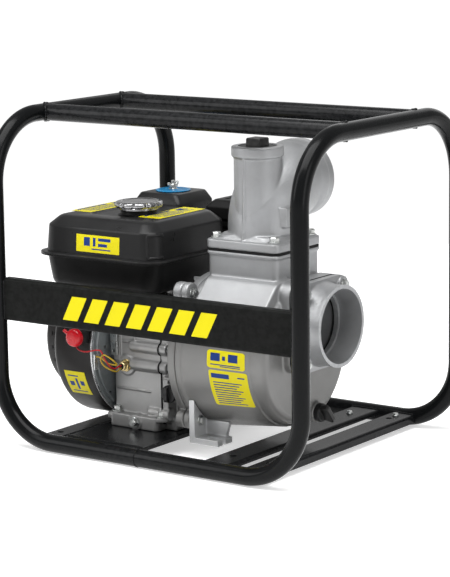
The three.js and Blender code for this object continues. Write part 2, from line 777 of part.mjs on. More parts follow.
function buildEngine() {
  const g = engineGroup;
  add(g, 'crankcase', crankcase(), ENGINE_CAST);
  add(g, 'crankcase_cover', crankcaseCover(), ENGINE_CAST);
  add(g, 'cylinder_head', cylinderHead(), ENGINE_CAST);
  add(g, 'rocker_cover', rockerCover(), BLACK_PAINT);
  add(g, 'fan_shroud', fanShroud(), BLACK_PAINT);
  add(g, 'recoil_cover', recoilCover(), BLACK_PAINT);
  const pullTurn = new THREE.Euler().setFromQuaternion(PULL_TURN);
  const gripTurn = [pullTurn.x, pullTurn.y, pullTurn.z];
  add(g, 'recoil_grip', pullGrip(), BLACK_PLASTIC, PULL_AT, gripTurn);
  add(g, 'flywheel', flywheel(), ENGINE_CAST);
  add(g, 'crankshaft', crankshaft(), ZINC);
  add(g, 'piston', piston(), ENGINE_CAST, [CYL_X, 0, 0], [CYL_TILT, 0, 0]);
  add(g, 'baffle_plate', bafflePlate(), ZINC);
  add(g, 'tank_upper', tankUpper(), TANK_PAINT);
  add(g, 'tank_lower', tankLower(), BLACK_PAINT);
  add(g, 'fuel_cap', fuelCap(), CHROME, [...CAP_AT, TANK_TOP + 6 + GAP]);
  add(g, 'air_cleaner_cover', cleanerCover(), TANK_PAINT);
  const base = prism('z', roundedRect(CLEANER_AT, [42, 42], 8), [130, 148 - GAP]);
  add(g, 'air_cleaner_base', base, BLACK_PLASTIC);
  add(g, 'wing_nut', wingNut(), ZINC, [...CLEANER_AT, CLEANER_TOP + GAP]);
  add(g, 'carburettor', carburettor(), ENGINE_CAST);
  add(g, 'choke_lever', lever(26), BLACK_PLASTIC, [-190.6, 132, 92], [0.5, 0, 0]);
  add(g, 'fuel_valve_lever', lever(20), BLACK_PLASTIC, [-190.6, 122, 72], [-1.2, 0, 0]);
  add(g, 'throttle_lever', lever(18), ZINC, [-45, 78, 62], [0.2, 0, 0]);
  add(g, 'muffler', muffler(), BLACK_PAINT);
  add(g, 'muffler_guard', mufflerGuard(), BLACK_PAINT);
  add(g, 'spark_plug', sparkPlug(), BLACK_RUBBER);
  add(g, 'switch_box', switchBox(), BLACK_PLASTIC);
  add(g, 'switch_knob', switchKnob(), RED_PLASTIC, SWITCH_AT);
  add(g, 'sensor_gland', gland(), BRASS, GLAND_AT);
  add(g, 'lead_clip', leadClip(), ZINC);
  add(g, 'stop_lead', bentRod(STOP_LEAD, 1.1, 8, 30), RED_PLASTIC);
  add(g, 'sensor_lead', bentRod(SENSOR_LEAD, 1.1, 8, 44), YELLOW_PLASTIC);
  const oilPlug = join(
    rod('y', 13, [-10, -2], [0, 0, 0], 20),
    rod('y', 9.8, [-2.2, 14], [0, 0, 0], 16),
    block([-3, 3], [-17, -8], [-12, 12]),
  );
  add(g, 'oil_plug', oilPlug, BLACK_PLASTIC, [OIL_AT[0], CASE_FRONT - GAP, OIL_AT[1]]);
  const facingFront = [Math.PI / 2, 0, 0];
  const drainAt = [-90, -83 - GAP, BASE + 10];
  add(g, 'oil_drain_bolt', hexBolt(12, 6, 4.8, 10), ZINC, drainAt, facingFront);
}

// ---- Pump ---------------------------------------------------------------------------

const EARS = [-EAR_Y, EAR_Y].flatMap((y) => EAR_Z.map((z) => [y, z]));
const FRONT_EARS = EARS.slice(0, 2);
const earRods = (span, radius, sides) =>
  EARS.map(([y, z]) => rod('x', radius, span, [0, y, z], sides));

// Webs that tie the ears to the round flange.
const earWebs = (span) =>
  EARS.map(([y, z]) => {
    const turn = THREE.MathUtils.radToDeg(Math.atan2(-y, z));
    return block(span, [-10, 10], [100, Math.hypot(y, z)]).rotate([turn, 0, 0]);
  });

function adapter() {
  const bell = turned('x', [
    [20, -21.7],
    [80, -21.7],
    [101, -12],
    [115, -9],
    [115, 6.3],
    [20, 6.3],
  ], [0, 0, 0], 40);
  const ears = [...earRods([-8, 6.3], 14, 16), ...earWebs([-8, 6.3])];
  return cut(join(bell, ...ears), ...earRods([-25, 10], 4.6, 8));
}

// The drum rises slightly towards its end face, so it is turned and then sheared.
function slantedDrum(profile, sides) {
  const rise = BODY_RISE / (BODY_X[1] - BODY_X[0]);
  const points = profile.map(([r, h]) => new THREE.Vector2(r, h));
  const drum = along(new THREE.LatheGeometry(points, sides), 'x');
  drum.applyMatrix4(new THREE.Matrix4().set(
    1, 0, 0, 0,
    0, 1, 0, 0,
    rise, 0, 1, -rise * BODY_X[0],
    0, 0, 0, 1,
  ));
  return solid(drum);
}

const NECK_CENTRE = [NECK_X, 0];
const SUCTION_CENTRE = [0, SUCTION_Z];
const suctionOutline = () => roundedRect(SUCTION_CENTRE, [63, 64], 18);

function pumpCasing() {
  const [x0, x1] = BODY_X;
  const [r0, r1] = BODY_R;
  const wall = 8;
  const drum = slantedDrum([[0, x0], [r0, x0], [r1, x1 - 7], [r1 - 5, x1], [0, x1]], 44);
  const shoulder = outline([[-40, 122], [-65, 117], [-107, 75], [-107, 38], [-40, 38]]);
  const outer = join(
    drum,
    rod('x', 115.5, [x0, 17], [0, 0, 0], 44),
    ...earRods([x0, 17], 14, 14),
    ...earWebs([x0, 17]),
    prism('x', shoulder, [30, 152]),
    prism('z', roundedRect(NECK_CENTRE, NECK_HALF, NECK_CORNER), [60, NECK_TOP]),
    prism('z', roundedRect(NECK_CENTRE, NECK_FLANGE, NECK_CORNER), [NECK_TOP - 5, NECK_TOP]),
    prism('x', suctionOutline(), [148, 170.5], 3),
    rod('x', 15, [150, 164], [0, 18, -80], 20),
  );
  return cut(
    outer,
    slantedDrum([[0, x0 - 2], [r0 - wall, x0 - 2], [r1 - wall, x1 - wall], [0, x1 - wall]], 32),
    prism('z', roundedRect(NECK_CENTRE, [48, 43], 8), [30, NECK_TOP + 1]),
    rod('x', 52, [140, 175], [0, ...SUCTION_CENTRE], 28),
    ...earRods([0, 20], 4.6, 8),
    rod('x', 8.2, [140, 170], [0, 18, -80], 16),
  );
}

function voluteInsert() {
  const cup = turned('x', [
    [68, 14],
    [95, 14],
    [95, 70],
    [40, 70],
    [40, 62],
    [68, 62],
  ], [0, 0, 0], 28);
  return cut(cup, block([30, 60], [-28, 28], [50, 110]));
}

function impeller() {
  const vanes = Array.from({ length: 3 }, (_, i) =>
    block([30, 52], [14, 56], [10, 15]).rotate([i * 120, 0, 0]),
  );
  const hub = turned('x', [
    [0, 47],
    [SHAFT_R + 0.6, 47],
    [SHAFT_R + 0.6, 24],
    [60, 24],
    [60, 31],
    [24, 33],
    [20, 54],
    [0, 58],
  ], [0, 0, 0], 24);
  return join(hub, ...vanes);
}

function suctionGasket() {
  const span = [170.8, 173.2];
  const sheet = join(prism('x', suctionOutline(), span), block(span, [-12, 1], [100, 130]));
  return cut(sheet, rod('x', 43, [165, 180], [0, ...SUCTION_CENTRE], 28));
}

function suctionFlange() {
  const plate = prism('x', suctionOutline(), [173.5, 185], 3);
  const spout = turned('x', [
    [0, 180],
    [61, 180],
    [61, 185],
    [MOUTH_R, 190],
    [PORT_OUT, 196],
    [PORT_OUT, 208],
    [MOUTH_R, 212],
    [MOUTH_R, MOUTH_X - 1.5],
    [MOUTH_R - 1.5, MOUTH_X],
    [0, MOUTH_X],
  ], [0, ...SUCTION_CENTRE], 40);
  return cut(
    join(plate, spout),
    rod('x', PORT_IN, [180, MOUTH_X + 1], [0, ...SUCTION_CENTRE], 40),
    rod('x', 46.5, [170, 181], [0, ...SUCTION_CENTRE], 40),
  );
}

// Flap that the pump's suction opens inwards, hung from its upper edge.
function flapValve() {
  const hinge = 47;
  return join(
    rod('x', 45.5, [-3, 0], [0, 0, -hinge], 32),
    rod('x', 26, [-7, -2.9], [0, 0, -hinge], 24),
    block([-3, 0], [-10, 10], [-12, 0]),
  );
}

function neckGasket() {
  const span = [NECK_TOP + GAP, FLANGE_Z[0] - GAP];
  const sheet = prism('z', roundedRect(NECK_CENTRE, [61, 56], NECK_CORNER), span);
  return cut(sheet, rod('z', ELBOW_BORE, [140, 160], [NECK_X, 2, 0], 24), ...neckHoles());
}

const NECK_BOLTS = [[-50, -44], [49, -44], [50, 45], [-50, 45]];
const neckHoles = () =>
  NECK_BOLTS.map(([x, y]) => rod('z', 4.6, [NECK_TOP - 0.2, 180], [NECK_X + x, y, 0], 8));

// The bend from the neck to the rear-facing port, as rings that turn and swell.
function elbow(startR, endR, fromZ, steps, sides) {
  const [startY, portY] = [2, 76];
  const bendR = portY - startY;
  const rings = [];
  const ring = (y, z, angle, radius) =>
    Array.from({ length: sides }, (_, i) => {
      const t = (i / sides) * Math.PI * 2;
      const [a, b] = [radius * Math.cos(t), radius * Math.sin(t)];
      return new THREE.Vector3(NECK_X + a, y + b * Math.cos(angle), z - b * Math.sin(angle));
    });
  rings.push(ring(startY, fromZ, 0, startR));
  for (let s = 0; s <= steps; s++) {
    const angle = (s / steps) * (Math.PI / 2);
    const [y, z] = [portY - bendR * Math.cos(angle), ELBOW_Z - bendR * (1 - Math.sin(angle))];
    rings.push(ring(y, z, angle, THREE.MathUtils.lerp(startR, endR, s / steps)));
  }
  rings.push(ring(portY + 10, ELBOW_Z, Math.PI / 2, endR));
  return loft(rings);
}

function dischargeCasting() {
  const [low, high] = FLANGE_Z;
  const portAt = [NECK_X, 0, ELBOW_Z];
  const fillerAt = [NECK_X, FILLER_Y, 0];
  const outer = join(
    prism('z', roundedRect(NECK_CENTRE, NECK_FLANGE, NECK_CORNER), [low, high]),
    elbow(51, 55, low + 4, 6, 32),
    rod('y', PORT_OUT, [70, 102], portAt, 36),
    rod('z', 34, [low + 4, FILLER_TOP - 16], fillerAt, 28),
    rod('z', 37, [FILLER_TOP - 17, FILLER_TOP], fillerAt, 28),
    block([NECK_X - 1.5, NECK_X + 1.5], [FILLER_Y - 35.5, FILLER_Y - 20], [high - 2, FILLER_TOP - 10]),
    block([118, 140], [-22, 2], [189, 217]),
  );
  return cut(
    outer,
    elbow(ELBOW_BORE, ELBOW_BORE, low - 2, 6, 24),
    rod('y', PORT_IN, [80, 103], portAt, 36),
    rod('z', 28, [200, FILLER_TOP + 1], fillerAt, 24),
    ...neckHoles(),
  );
}

function fillerPlug() {
  return join(
    turned('z', [
      [0, 272],
      [26, 272],
      [27.4, 276],
      [27.4, FILLER_TOP - 1],
      [0, FILLER_TOP - 1],
    ]),
    block([-12, 12], [-12, 12], [FILLER_TOP - 2, FILLER_TOP + 11]),
  );
}

function drainPlug() {
  return join(
    rod('x', 7.7, [-18, 1], [0, 0, 0], 14),
    rod('x', 13.5, [0, 8], [0, 0, 0], 20),
    block([7, 22], [-3.5, 3.5], [-15, 15]),
  );
}

// Support foot bolted to the lower front ear: an upright plate, a web and a slotted sole.
function pumpFoot() {
  const sole = BASE - 4;
  const upright = block([17.3, 27], [-96, -64], [sole, -50]);
  const web = prism('y', outline([[20, sole], [60, sole], [68, -90], [20, -90]]), [-66, -60]);
  const slotted = cut(
    block([17.3, 68], [-96, -60], [sole, sole + 10]),
    block([40, 58], [-84, -77], [sole - 1, sole + 11]),
    block([57, 70], [-84, -77], [sole - 1, sole + 11]),
  );
  const [y, z] = EARS[1];
  return cut(
    join(upright, web, slotted),
    slantedDrum([[0, 0], [BODY_R[0] + 1, 0], [BODY_R[1] + 1.4, 150], [0, 150]], 44),
    rod('x', 4.6, [10, 30], [0, y, z], 12),
  );
}

function buildPump() {
  const g = wetGroup;
  add(g, 'adapter', adapter(), CAST);
  add(g, 'pump_casing', pumpCasing(), CAST);
  add(g, 'volute_insert', voluteInsert(), CAST);
  add(g, 'impeller', impeller(), CAST);
  const seal = turned('x', [[SHAFT_R + 0.6, -6], [19.6, -6], [19.6, 8], [SHAFT_R + 0.6, 8]]);
  add(g, 'shaft_seal', seal, BLACK_RUBBER);
  add(g, 'suction_gasket', suctionGasket(), BLACK_RUBBER);
  add(g, 'suction_flange', suctionFlange(), CAST);
  add(g, 'flap_valve', flapValve(), BLACK_RUBBER, [170.4, 0, SUCTION_Z + 47]);
  add(g, 'neck_gasket', neckGasket(), BLACK_RUBBER);
  add(g, 'discharge_casting', dischargeCasting(), CAST);
  add(g, 'filler_plug', fillerPlug(), BLACK_PLASTIC, [NECK_X, FILLER_Y, 0]);
  add(g, 'drain_plug', drainPlug(), BLACK_PLASTIC, [164 + GAP, 18, -80]);
  add(g, 'pump_foot', pumpFoot(), CAST);
  NECK_BOLTS.forEach(([x, y], i) => {
    const place = [NECK_X + x, y, FLANGE_Z[1] + GAP];
    add(g, 'neck_bolt_' + (i + 1), hexBolt(13, 7, 4, 15), ZINC, place);
  });
  const facingRight = [0, Math.PI / 2, 0];
  FRONT_EARS.forEach(([y, z], i) => {
    const seat = i === 1 ? 27 : 17;
    const place = [seat + GAP, y, z];
    add(g, 'ear_bolt_' + (i + 1), hexBolt(12, 6, 4, seat + 15), ZINC, place, facingRight);
  });
}

buildFrame();
buildEngine();
buildPump();

export default pump;
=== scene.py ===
# Looks for the gas engine trash pump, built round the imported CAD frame.
# Geometry is written in millimetres in the row's frame and scaled to metres in piece().
import math

import bmesh
import bpy
from mathutils import Matrix, Vector


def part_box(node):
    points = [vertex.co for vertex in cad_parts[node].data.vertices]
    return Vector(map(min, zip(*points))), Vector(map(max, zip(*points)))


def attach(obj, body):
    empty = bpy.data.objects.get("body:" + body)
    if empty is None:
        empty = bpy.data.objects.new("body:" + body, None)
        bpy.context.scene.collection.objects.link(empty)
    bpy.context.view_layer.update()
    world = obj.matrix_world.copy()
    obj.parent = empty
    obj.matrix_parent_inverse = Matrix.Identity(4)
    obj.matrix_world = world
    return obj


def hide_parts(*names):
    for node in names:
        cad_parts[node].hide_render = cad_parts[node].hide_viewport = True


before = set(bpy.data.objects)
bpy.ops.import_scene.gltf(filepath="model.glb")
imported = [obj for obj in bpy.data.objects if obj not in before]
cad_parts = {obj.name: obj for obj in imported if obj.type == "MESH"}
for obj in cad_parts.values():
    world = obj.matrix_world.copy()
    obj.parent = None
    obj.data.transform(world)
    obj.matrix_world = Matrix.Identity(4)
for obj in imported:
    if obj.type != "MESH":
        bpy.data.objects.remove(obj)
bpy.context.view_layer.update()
ROOT = "pump_set"
SHAFT = Vector((0, -30, 142))  # the engine and pump are measured from the shaft line


def box_mm(node):
    """Lowest and highest corners of a CAD node in millimetres."""
    low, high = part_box(node)
    return low * 1000, high * 1000


def place(x, y, z):
    """A point given from the shaft line, in the row's frame."""
    return SHAFT + Vector((x, y, z))


# ---- Camera -----------------------------------------------------------------------------

CAMERA_AT = Vector((1.96213, -2.73346, 0.84115))
CAMERA_LENS = 145.717
yaw, pitch, roll = math.radians(35.759), math.radians(10.381), -0.014266
view_dir = Vector((-math.sin(yaw) * math.cos(pitch), math.cos(yaw) * math.cos(pitch), -math.sin(pitch)))
level_right = Vector((math.cos(yaw), math.sin(yaw), 0))
level_up = level_right.cross(view_dir)
cam_right = math.cos(roll) * level_right + math.sin(roll) * level_up
cam_up = -math.sin(roll) * level_right + math.cos(roll) * level_up
camera_data = bpy.data.cameras.new("camera")
camera_data.lens = CAMERA_LENS
camera_data.sensor_width = 36
camera_data.clip_end = 30
camera = bpy.data.objects.new("camera", camera_data)
bpy.context.scene.collection.objects.link(camera)
camera.matrix_world = Matrix((cam_right, cam_up, -view_dir)).transposed().to_4x4()
camera.matrix_world.translation = CAMERA_AT
bpy.context.scene.camera = camera


# ---- Materials --------------------------------------------------------------------------


class Nodes:
    """A short way to write a material's node tree."""

    def __init__(self, name):
        self.material = bpy.data.materials.new(name)
        self.material.use_nodes = True
        self.tree = self.material.node_tree
        self.shader = self.tree.nodes["Principled BSDF"]
        self.place = self.add("ShaderNodeTexCoord").outputs["Object"]

    def add(self, kind, **inputs):
        node = self.tree.nodes.new(kind)
        for key, value in inputs.items():
            self.feed(node.inputs[key.replace("_", " ")], value)
        return node

    def feed(self, socket, value):
        if isinstance(value, bpy.types.NodeSocket):
            self.tree.links.new(value, socket)
        else:
            socket.default_value = value

    def noise(self, scale, detail=3, rough=0.5, stretch=None):
        where = self.place
        if stretch:
            where = self.add("ShaderNodeMapping", Vector=where, Scale=stretch).outputs[0]
        node = self.add("ShaderNodeTexNoise", Vector=where, Scale=scale, Detail=detail, Roughness=rough)
        return node.outputs["Fac"]

    def span(self, value, low, high, start=0.3, end=0.7):
        node = self.add("ShaderNodeMapRange", Value=value)
        node.inputs["From Min"].default_value = start
        node.inputs["From Max"].default_value = end
        node.inputs["To Min"].default_value = low
        node.inputs["To Max"].default_value = high
        return node.outputs[0]

    def mix(self, amount, first, second):
        node = self.add("ShaderNodeMix")
        node.data_type = "RGBA"
        self.feed(node.inputs[0], amount)
        self.feed(node.inputs[6], (*first, 1) if isinstance(first, tuple) else first)
        self.feed(node.inputs[7], (*second, 1) if isinstance(second, tuple) else second)
        return node.outputs[2]

    def bump(self, height, strength, distance, under=None):
        node = self.add("ShaderNodeBump", Height=height, Strength=strength, Distance=distance)
        if under is not None:
            self.feed(node.inputs["Normal"], under)
        return node.outputs[0]

    def edges(self, start, end):
        """1 on worn outside edges, 0 elsewhere."""
        geometry = self.add("ShaderNodeNewGeometry")
        return self.span(geometry.outputs["Pointiness"], 0, 1, start, end)


def finish(
    name, color, dark, rough, metallic=0, shine=0.5, grain=None, lumps=None, edge=None, tint_scale=9,
    low_shade=None,
):
    """A material whose colour drifts between color and dark, with grain, lumps and worn edges.
    rough is (low, high); grain and lumps are (scale per metre, strength, depth in metres);
    the last argument is painted shade darkening the colour towards the ground: (height where the painted
    shade starts, height where it is full, shade colour), heights in metres above the ground."""
    n = Nodes(name)
    drift = n.span(n.noise(tint_scale, 5, 0.6), 0, 1, 0.35, 0.65)
    base = n.mix(drift, color, dark)
    if edge:
        edge_color, amount = edge
        worn = n.edges(0.52, 0.62)
        patchy = n.span(n.noise(160, 4), 0, amount, 0.35, 0.6)
        both = n.add("ShaderNodeMath")
        both.operation = "MULTIPLY"
        n.feed(both.inputs[0], worn)
        n.feed(both.inputs[1], patchy)
        base = n.mix(both.outputs[0], base, edge_color)
    # painted shade: below the given heights the base colour is blended towards a darker shade colour, fully
    # dark nearest the ground
    if low_shade:
        shade_start, shade_full, shade_color = low_shade
        up = n.add("ShaderNodeSeparateXYZ", Vector=n.place).outputs["Z"]
        base = n.mix(n.span(up, 1, 0, shade_full, shade_start), base, shade_color)
    n.feed(n.shader.inputs["Base Color"], base)
    n.feed(n.shader.inputs["Roughness"], n.span(n.noise(38, 6, 0.65), rough[0], rough[1], 0.3, 0.7))
    n.shader.inputs["Metallic"].default_value = metallic
    n.shader.inputs["Specular IOR Level"].default_value = shine
    normal = None
    for relief in (lumps, grain):
        if relief:
            scale, strength, depth = relief
            normal = n.bump(n.noise(scale, 4, 0.6), strength, depth, normal)
    if normal is not None:
        n.feed(n.shader.inputs["Normal"], normal)
    return n.material


BLACK_PAINT = finish(
    "black_gloss_paint", (0.0032, 0.0035, 0.0038), (0.0045, 0.0048, 0.005), (0.16, 0.26), shine=0.10,
    grain=(420, 0.05, 0.0004), edge=((0.03, 0.03, 0.032), 0.4),
)
PANEL_PAINT = finish(
    "panel_paint", (0.0034, 0.0038, 0.0034), (0.0045, 0.0048, 0.0044), (0.34, 0.46), shine=0.05,
    grain=(900, 0.03, 0.0003), edge=((0.03, 0.03, 0.03), 0.4),
)
TANK_PAINT = finish(
    "charcoal_tank_paint", (0.0092, 0.0092, 0.0094), (0.0115, 0.0115, 0.0117), (0.26, 0.36), shine=0.16,
    grain=(900, 0.05, 0.0003), edge=((0.05, 0.05, 0.05), 0.5),
)
TANK_UNDER = finish(
    "black_tank_paint", (0.004, 0.004, 0.004), (0.0055, 0.0055, 0.0055), (0.34, 0.46), shine=0.12,
    grain=(800, 0.04, 0.0003),
)
SHROUD_PAINT = finish(
    "shroud_paint", (0.0078, 0.0068, 0.0066), (0.011, 0.010, 0.0098), (0.30, 0.42), shine=0.16,
    grain=(900, 0.06, 0.0004), edge=((0.06, 0.06, 0.06), 0.5),
)
CAST = finish(
    "cast_aluminium", (0.250, 0.253, 0.256), (0.315, 0.320, 0.328), (0.34, 0.48), metallic=0.62,
    grain=(1500, 0.34, 0.0006), lumps=(220, 0.05, 0.0010), edge=((0.52, 0.53, 0.54), 0.6),
)
# the pump body's aluminium, with painted shade darkening it towards the ground
DRUM_CAST = finish(
    "cast_aluminium_body_painted_shade", (0.250, 0.253, 0.256), (0.315, 0.320, 0.328), (0.36, 0.50), metallic=0.55,
    grain=(1500, 0.34, 0.0006), lumps=(220, 0.05, 0.0010), edge=((0.52, 0.53, 0.54), 0.6),
    low_shade=(0.250, 0.175, (0.165, 0.164, 0.160)),
)
# painted light: the casing's cast aluminium given a lighter colour on the foot, standing for the sheen and
# light that fall on it
LIT_FOOT_CAST = finish(
    "cast_aluminium_foot_painted_light", (0.40, 0.405, 0.41), (0.50, 0.505, 0.51), (0.30, 0.44), metallic=0.55,
    grain=(1500, 0.34, 0.0006), lumps=(220, 0.05, 0.0010), edge=((0.62, 0.63, 0.64), 0.6),
)
ENGINE_CAST = finish(
    "engine_cast_aluminium", (0.215, 0.215, 0.212), (0.28, 0.28, 0.277), (0.32, 0.46), metallic=0.62,
    grain=(1300, 0.32, 0.0006), lumps=(190, 0.08, 0.0012), edge=((0.34, 0.34, 0.34), 0.7),
)
MACHINED = finish(
    "machined_aluminium", (0.34, 0.345, 0.35), (0.40, 0.405, 0.41), (0.22, 0.34), metallic=0.9,
    grain=(2200, 0.12, 0.0003),
)
ZINC = finish(
    "zinc_plate", (0.34, 0.36, 0.37), (0.44, 0.45, 0.43), (0.20, 0.36), metallic=0.95,
    grain=(900, 0.08, 0.0003), edge=((0.62, 0.62, 0.60), 0.4), tint_scale=45,
)
BAFFLE_ZINC = finish(
    "dull_zinc_sheet", (0.130, 0.145, 0.150), (0.180, 0.195, 0.200), (0.40, 0.55), metallic=0.45,
    grain=(700, 0.10, 0.0004), edge=((0.34, 0.35, 0.35), 0.4), tint_scale=25,
)
CHROME = finish(
    "chrome", (0.30, 0.30, 0.305), (0.38, 0.38, 0.385), (0.12, 0.24), metallic=1,
    grain=(700, 0.05, 0.0003),
)
BRASS = finish(
    "yellow_zinc", (0.42, 0.32, 0.14), (0.52, 0.43, 0.24), (0.2, 0.34), metallic=1,
    grain=(900, 0.1, 0.0003), tint_scale=90,
)
BLACK_PLASTIC = finish(
    "black_plastic", (0.006, 0.006, 0.006), (0.010, 0.010, 0.010), (0.36, 0.5), shine=0.25,
    grain=(1600, 0.2, 0.0004), edge=((0.04, 0.04, 0.04), 0.6),
)
FLAP_RUBBER = finish(
    "grey_rubber", (0.055, 0.056, 0.058), (0.075, 0.076, 0.078), (0.6, 0.75), shine=0.2,
    grain=(1200, 0.25, 0.0005),
)
RUBBER = finish(
    "black_rubber", (0.006, 0.006, 0.006), (0.010, 0.010, 0.010), (0.62, 0.8), shine=0.15,
    grain=(1200, 0.25, 0.0005),
)
RED_PLASTIC = finish(
    "red_plastic", (0.36, 0.004, 0.010), (0.42, 0.006, 0.012), (0.22, 0.34), shine=0.35,
    grain=(900, 0.06, 0.0004), edge=((0.60, 0.06, 0.06), 0.5),
)
RED_WIRE = finish(
    "red_insulation", (0.40, 0.006, 0.012), (0.32, 0.005, 0.008), (0.3, 0.42), shine=0.3,
    grain=(1500, 0.1, 0.0003),
)
YELLOW_WIRE = finish(
    "yellow_insulation", (0.40, 0.27, 0.015), (0.32, 0.20, 0.01), (0.3, 0.42), shine=0.3,
    grain=(1500, 0.1, 0.0003),
)
BLUE_PLASTIC = finish(
    "light_blue_plastic", (0.008, 0.165, 0.34), (0.006, 0.125, 0.28), (0.25, 0.4), shine=0.35,
    grain=(1100, 0.1, 0.0004),
)
YELLOW_FILM = finish(
    "yellow_label", (0.56, 0.49, 0.0), (0.60, 0.52, 0.002), (0.34, 0.44), shine=0.2, grain=(900, 0.05, 0.0003)
)
PANEL_YELLOW = finish(
    "panel_yellow", (0.56, 0.49, 0.0), (0.58, 0.505, 0.0), (0.36, 0.46), shine=0.15, grain=(900, 0.05, 0.0003)
)
BLUE_INK = finish(
    "blue_ink", (0.0015, 0.022, 0.14), (0.002, 0.028, 0.17), (0.3, 0.42), shine=0.2, grain=(900, 0.05, 0.0003)
)


# ---- Shapes, each a list of points and a list of faces -----------------------------------


def axis_frame(axis):
    """Unit vectors (along, across, up) for a named axis or a direction."""
    if isinstance(axis, str):
        sign = -1 if axis[0] == "-" else 1
        along = Vector([sign * (axis[-1] == c) for c in "xyz"])
    else:
        along = Vector(axis).normalized()
    helper = Vector((0, 0, 1)) if abs(along.z) < 0.9 else Vector((0, 1, 0))
    across = helper.cross(along).normalized()
    return along, across, along.cross(across)


def loft(rings, closed=False, caps=True):
    count = len(rings[0])
    points = [Vector(p) for ring in rings for p in ring]
    faces = []
    spans = len(rings) if closed else len(rings) - 1
    for r in range(spans):
        a, b = r * count, ((r + 1) % len(rings)) * count
        for i in range(count):
            j = (i + 1) % count
            faces.append((a + i, a + j, b + j, b + i))
    if caps and not closed:
        last = (len(rings) - 1) * count
        faces.append(tuple(reversed(range(count))))
        faces.append(tuple(range(last, last + count)))
    return points, faces


def circle(centre, across, up, radius, sides, start=0.0):
    return [
        centre + across * (radius * math.cos(start + t)) + up * (radius * math.sin(start + t))
        for t in (2 * math.pi * i / sides for i in range(sides))
    ]


def lathe(axis, profile, centre=(0, 0, 0), sides=64, ripple=None, closed=False):
    """A profile of (radius, distance) turned about an axis; ripple(angle, radius) changes the radius."""
    along, across, up = axis_frame(axis)
    rings = []
    for radius, distance in profile:
        middle = Vector(centre) + along * distance
        ring = []
        for i in range(sides):
            t = 2 * math.pi * i / sides
            r = max(radius if ripple is None else ripple(t, radius), 0.01)
            ring.append(middle + across * (r * math.cos(t)) + up * (r * math.sin(t)))
        rings.append(ring)
    return loft(rings, closed)


def rod(axis, radius, start, end, centre=(0, 0, 0), sides=32, top=None):
    return lathe(axis, [(radius, start), (radius if top is None else top, end)], centre, sides)


def block(x, y, z):
    """A box from its (low, high) along each axis."""
    return loft([[(x[0], y[0], h), (x[1], y[0], h), (x[1], y[1], h), (x[0], y[1], h)] for h in z])


def prism(axis, outline, start, end):
    """An outline pushed along an axis: z takes (x, y), x takes (y, z) and y takes (x, z)."""
    make = {
        "x": lambda a, b, h: (h, a, b),
        "y": lambda a, b, h: (a, h, b),
        "z": lambda a, b, h: (a, b, h),
    }[axis]
    return loft([[make(a, b, h) for a, b in outline] for h in (start, end)])


def rounded_rect(centre, half, r, steps=6):
    points = []
    for k, (sa, sb) in enumerate(((1, -1), (1, 1), (-1, 1), (-1, -1))):
        for s in range(steps + 1):
            t = (k - 1 + s / steps) * math.pi / 2
            a = centre[0] + sa * (half[0] - r) + r * math.cos(t)
            b = centre[1] + sb * (half[1] - r) + r * math.sin(t)
            points.append((a, b))
    return points


def tiers(centre, levels, steps=8):
    """Rounded rectangles at changing heights: each level is (height, half x, half y, corner radius)."""
    return loft([
        [(a, b, z) for a, b in rounded_rect(centre, (hx, hy), r, steps)] for z, hx, hy, r in levels
    ])


def tube(points, radius, sides=24, closed=False, wobble=None):
    """A round tube through points; wobble(i) scales its radius at each point."""
    points = [Vector(p) for p in points]
    count = len(points)
    normal = None
    rings = []
    for i, p in enumerate(points):
        before = points[i - 1] if i or closed else p
        after = points[(i + 1) % count] if i < count - 1 or closed else p
        tangent = (after - before).normalized()
        if normal is None:
            normal = axis_frame(tangent)[1]
        normal = (normal - tangent * normal.dot(tangent)).normalized()
        r = radius * (wobble(i) if wobble else 1)
        rings.append(circle(p, normal, tangent.cross(normal), r, sides))
    return loft(rings, closed)


def moved(part, matrix):
    points, faces = part
    return [matrix @ p for p in points], faces


def spun(part, axis, angle, centre):
    turn = Matrix.Rotation(angle, 4, axis_frame(axis)[0])
    middle = Matrix.Translation(Vector(centre))
    return moved(part, middle @ turn @ middle.inverted())


def at_shaft(part):
    return moved(part, Matrix.Translation(SHAFT))


def bead(points, radius, closed=False):
    """A weld bead: a fat line whose thickness ripples like stacked puddles."""
    return tube(points, radius, 10, closed, lambda i: 1 + 0.16 * math.sin(i * 2.1) + 0.07 * math.sin(i * 0.7))


# ---- Pieces -----------------------------------------------------------------------------


def joined(parts):
    """Several shapes as one list of points and one list of faces."""
    points, faces = [], []
    for part_points, part_faces in parts:
        base = len(points)
        points += list(part_points)
        faces += [tuple(base + i for i in face) for face in part_faces]
    return points, faces


def mesh_of(name, parts):
    points, faces = joined(parts)
    mesh = bpy.data.meshes.new(name)
    mesh.from_pydata([Vector(p) / 1000 for p in points], [], faces)
    work = bmesh.new()
    work.from_mesh(mesh)
    bmesh.ops.recalc_face_normals(work, faces=work.faces)
    work.to_mesh(mesh)
    work.free()
    return mesh


def applied(obj):
    """Bakes an object's modifiers into its mesh."""
    bpy.context.view_layer.update()
    shape = obj.evaluated_get(bpy.context.evaluated_depsgraph_get())
    baked = bpy.data.meshes.new_from_object(shape)
    obj.modifiers.clear()
    obj.data = baked


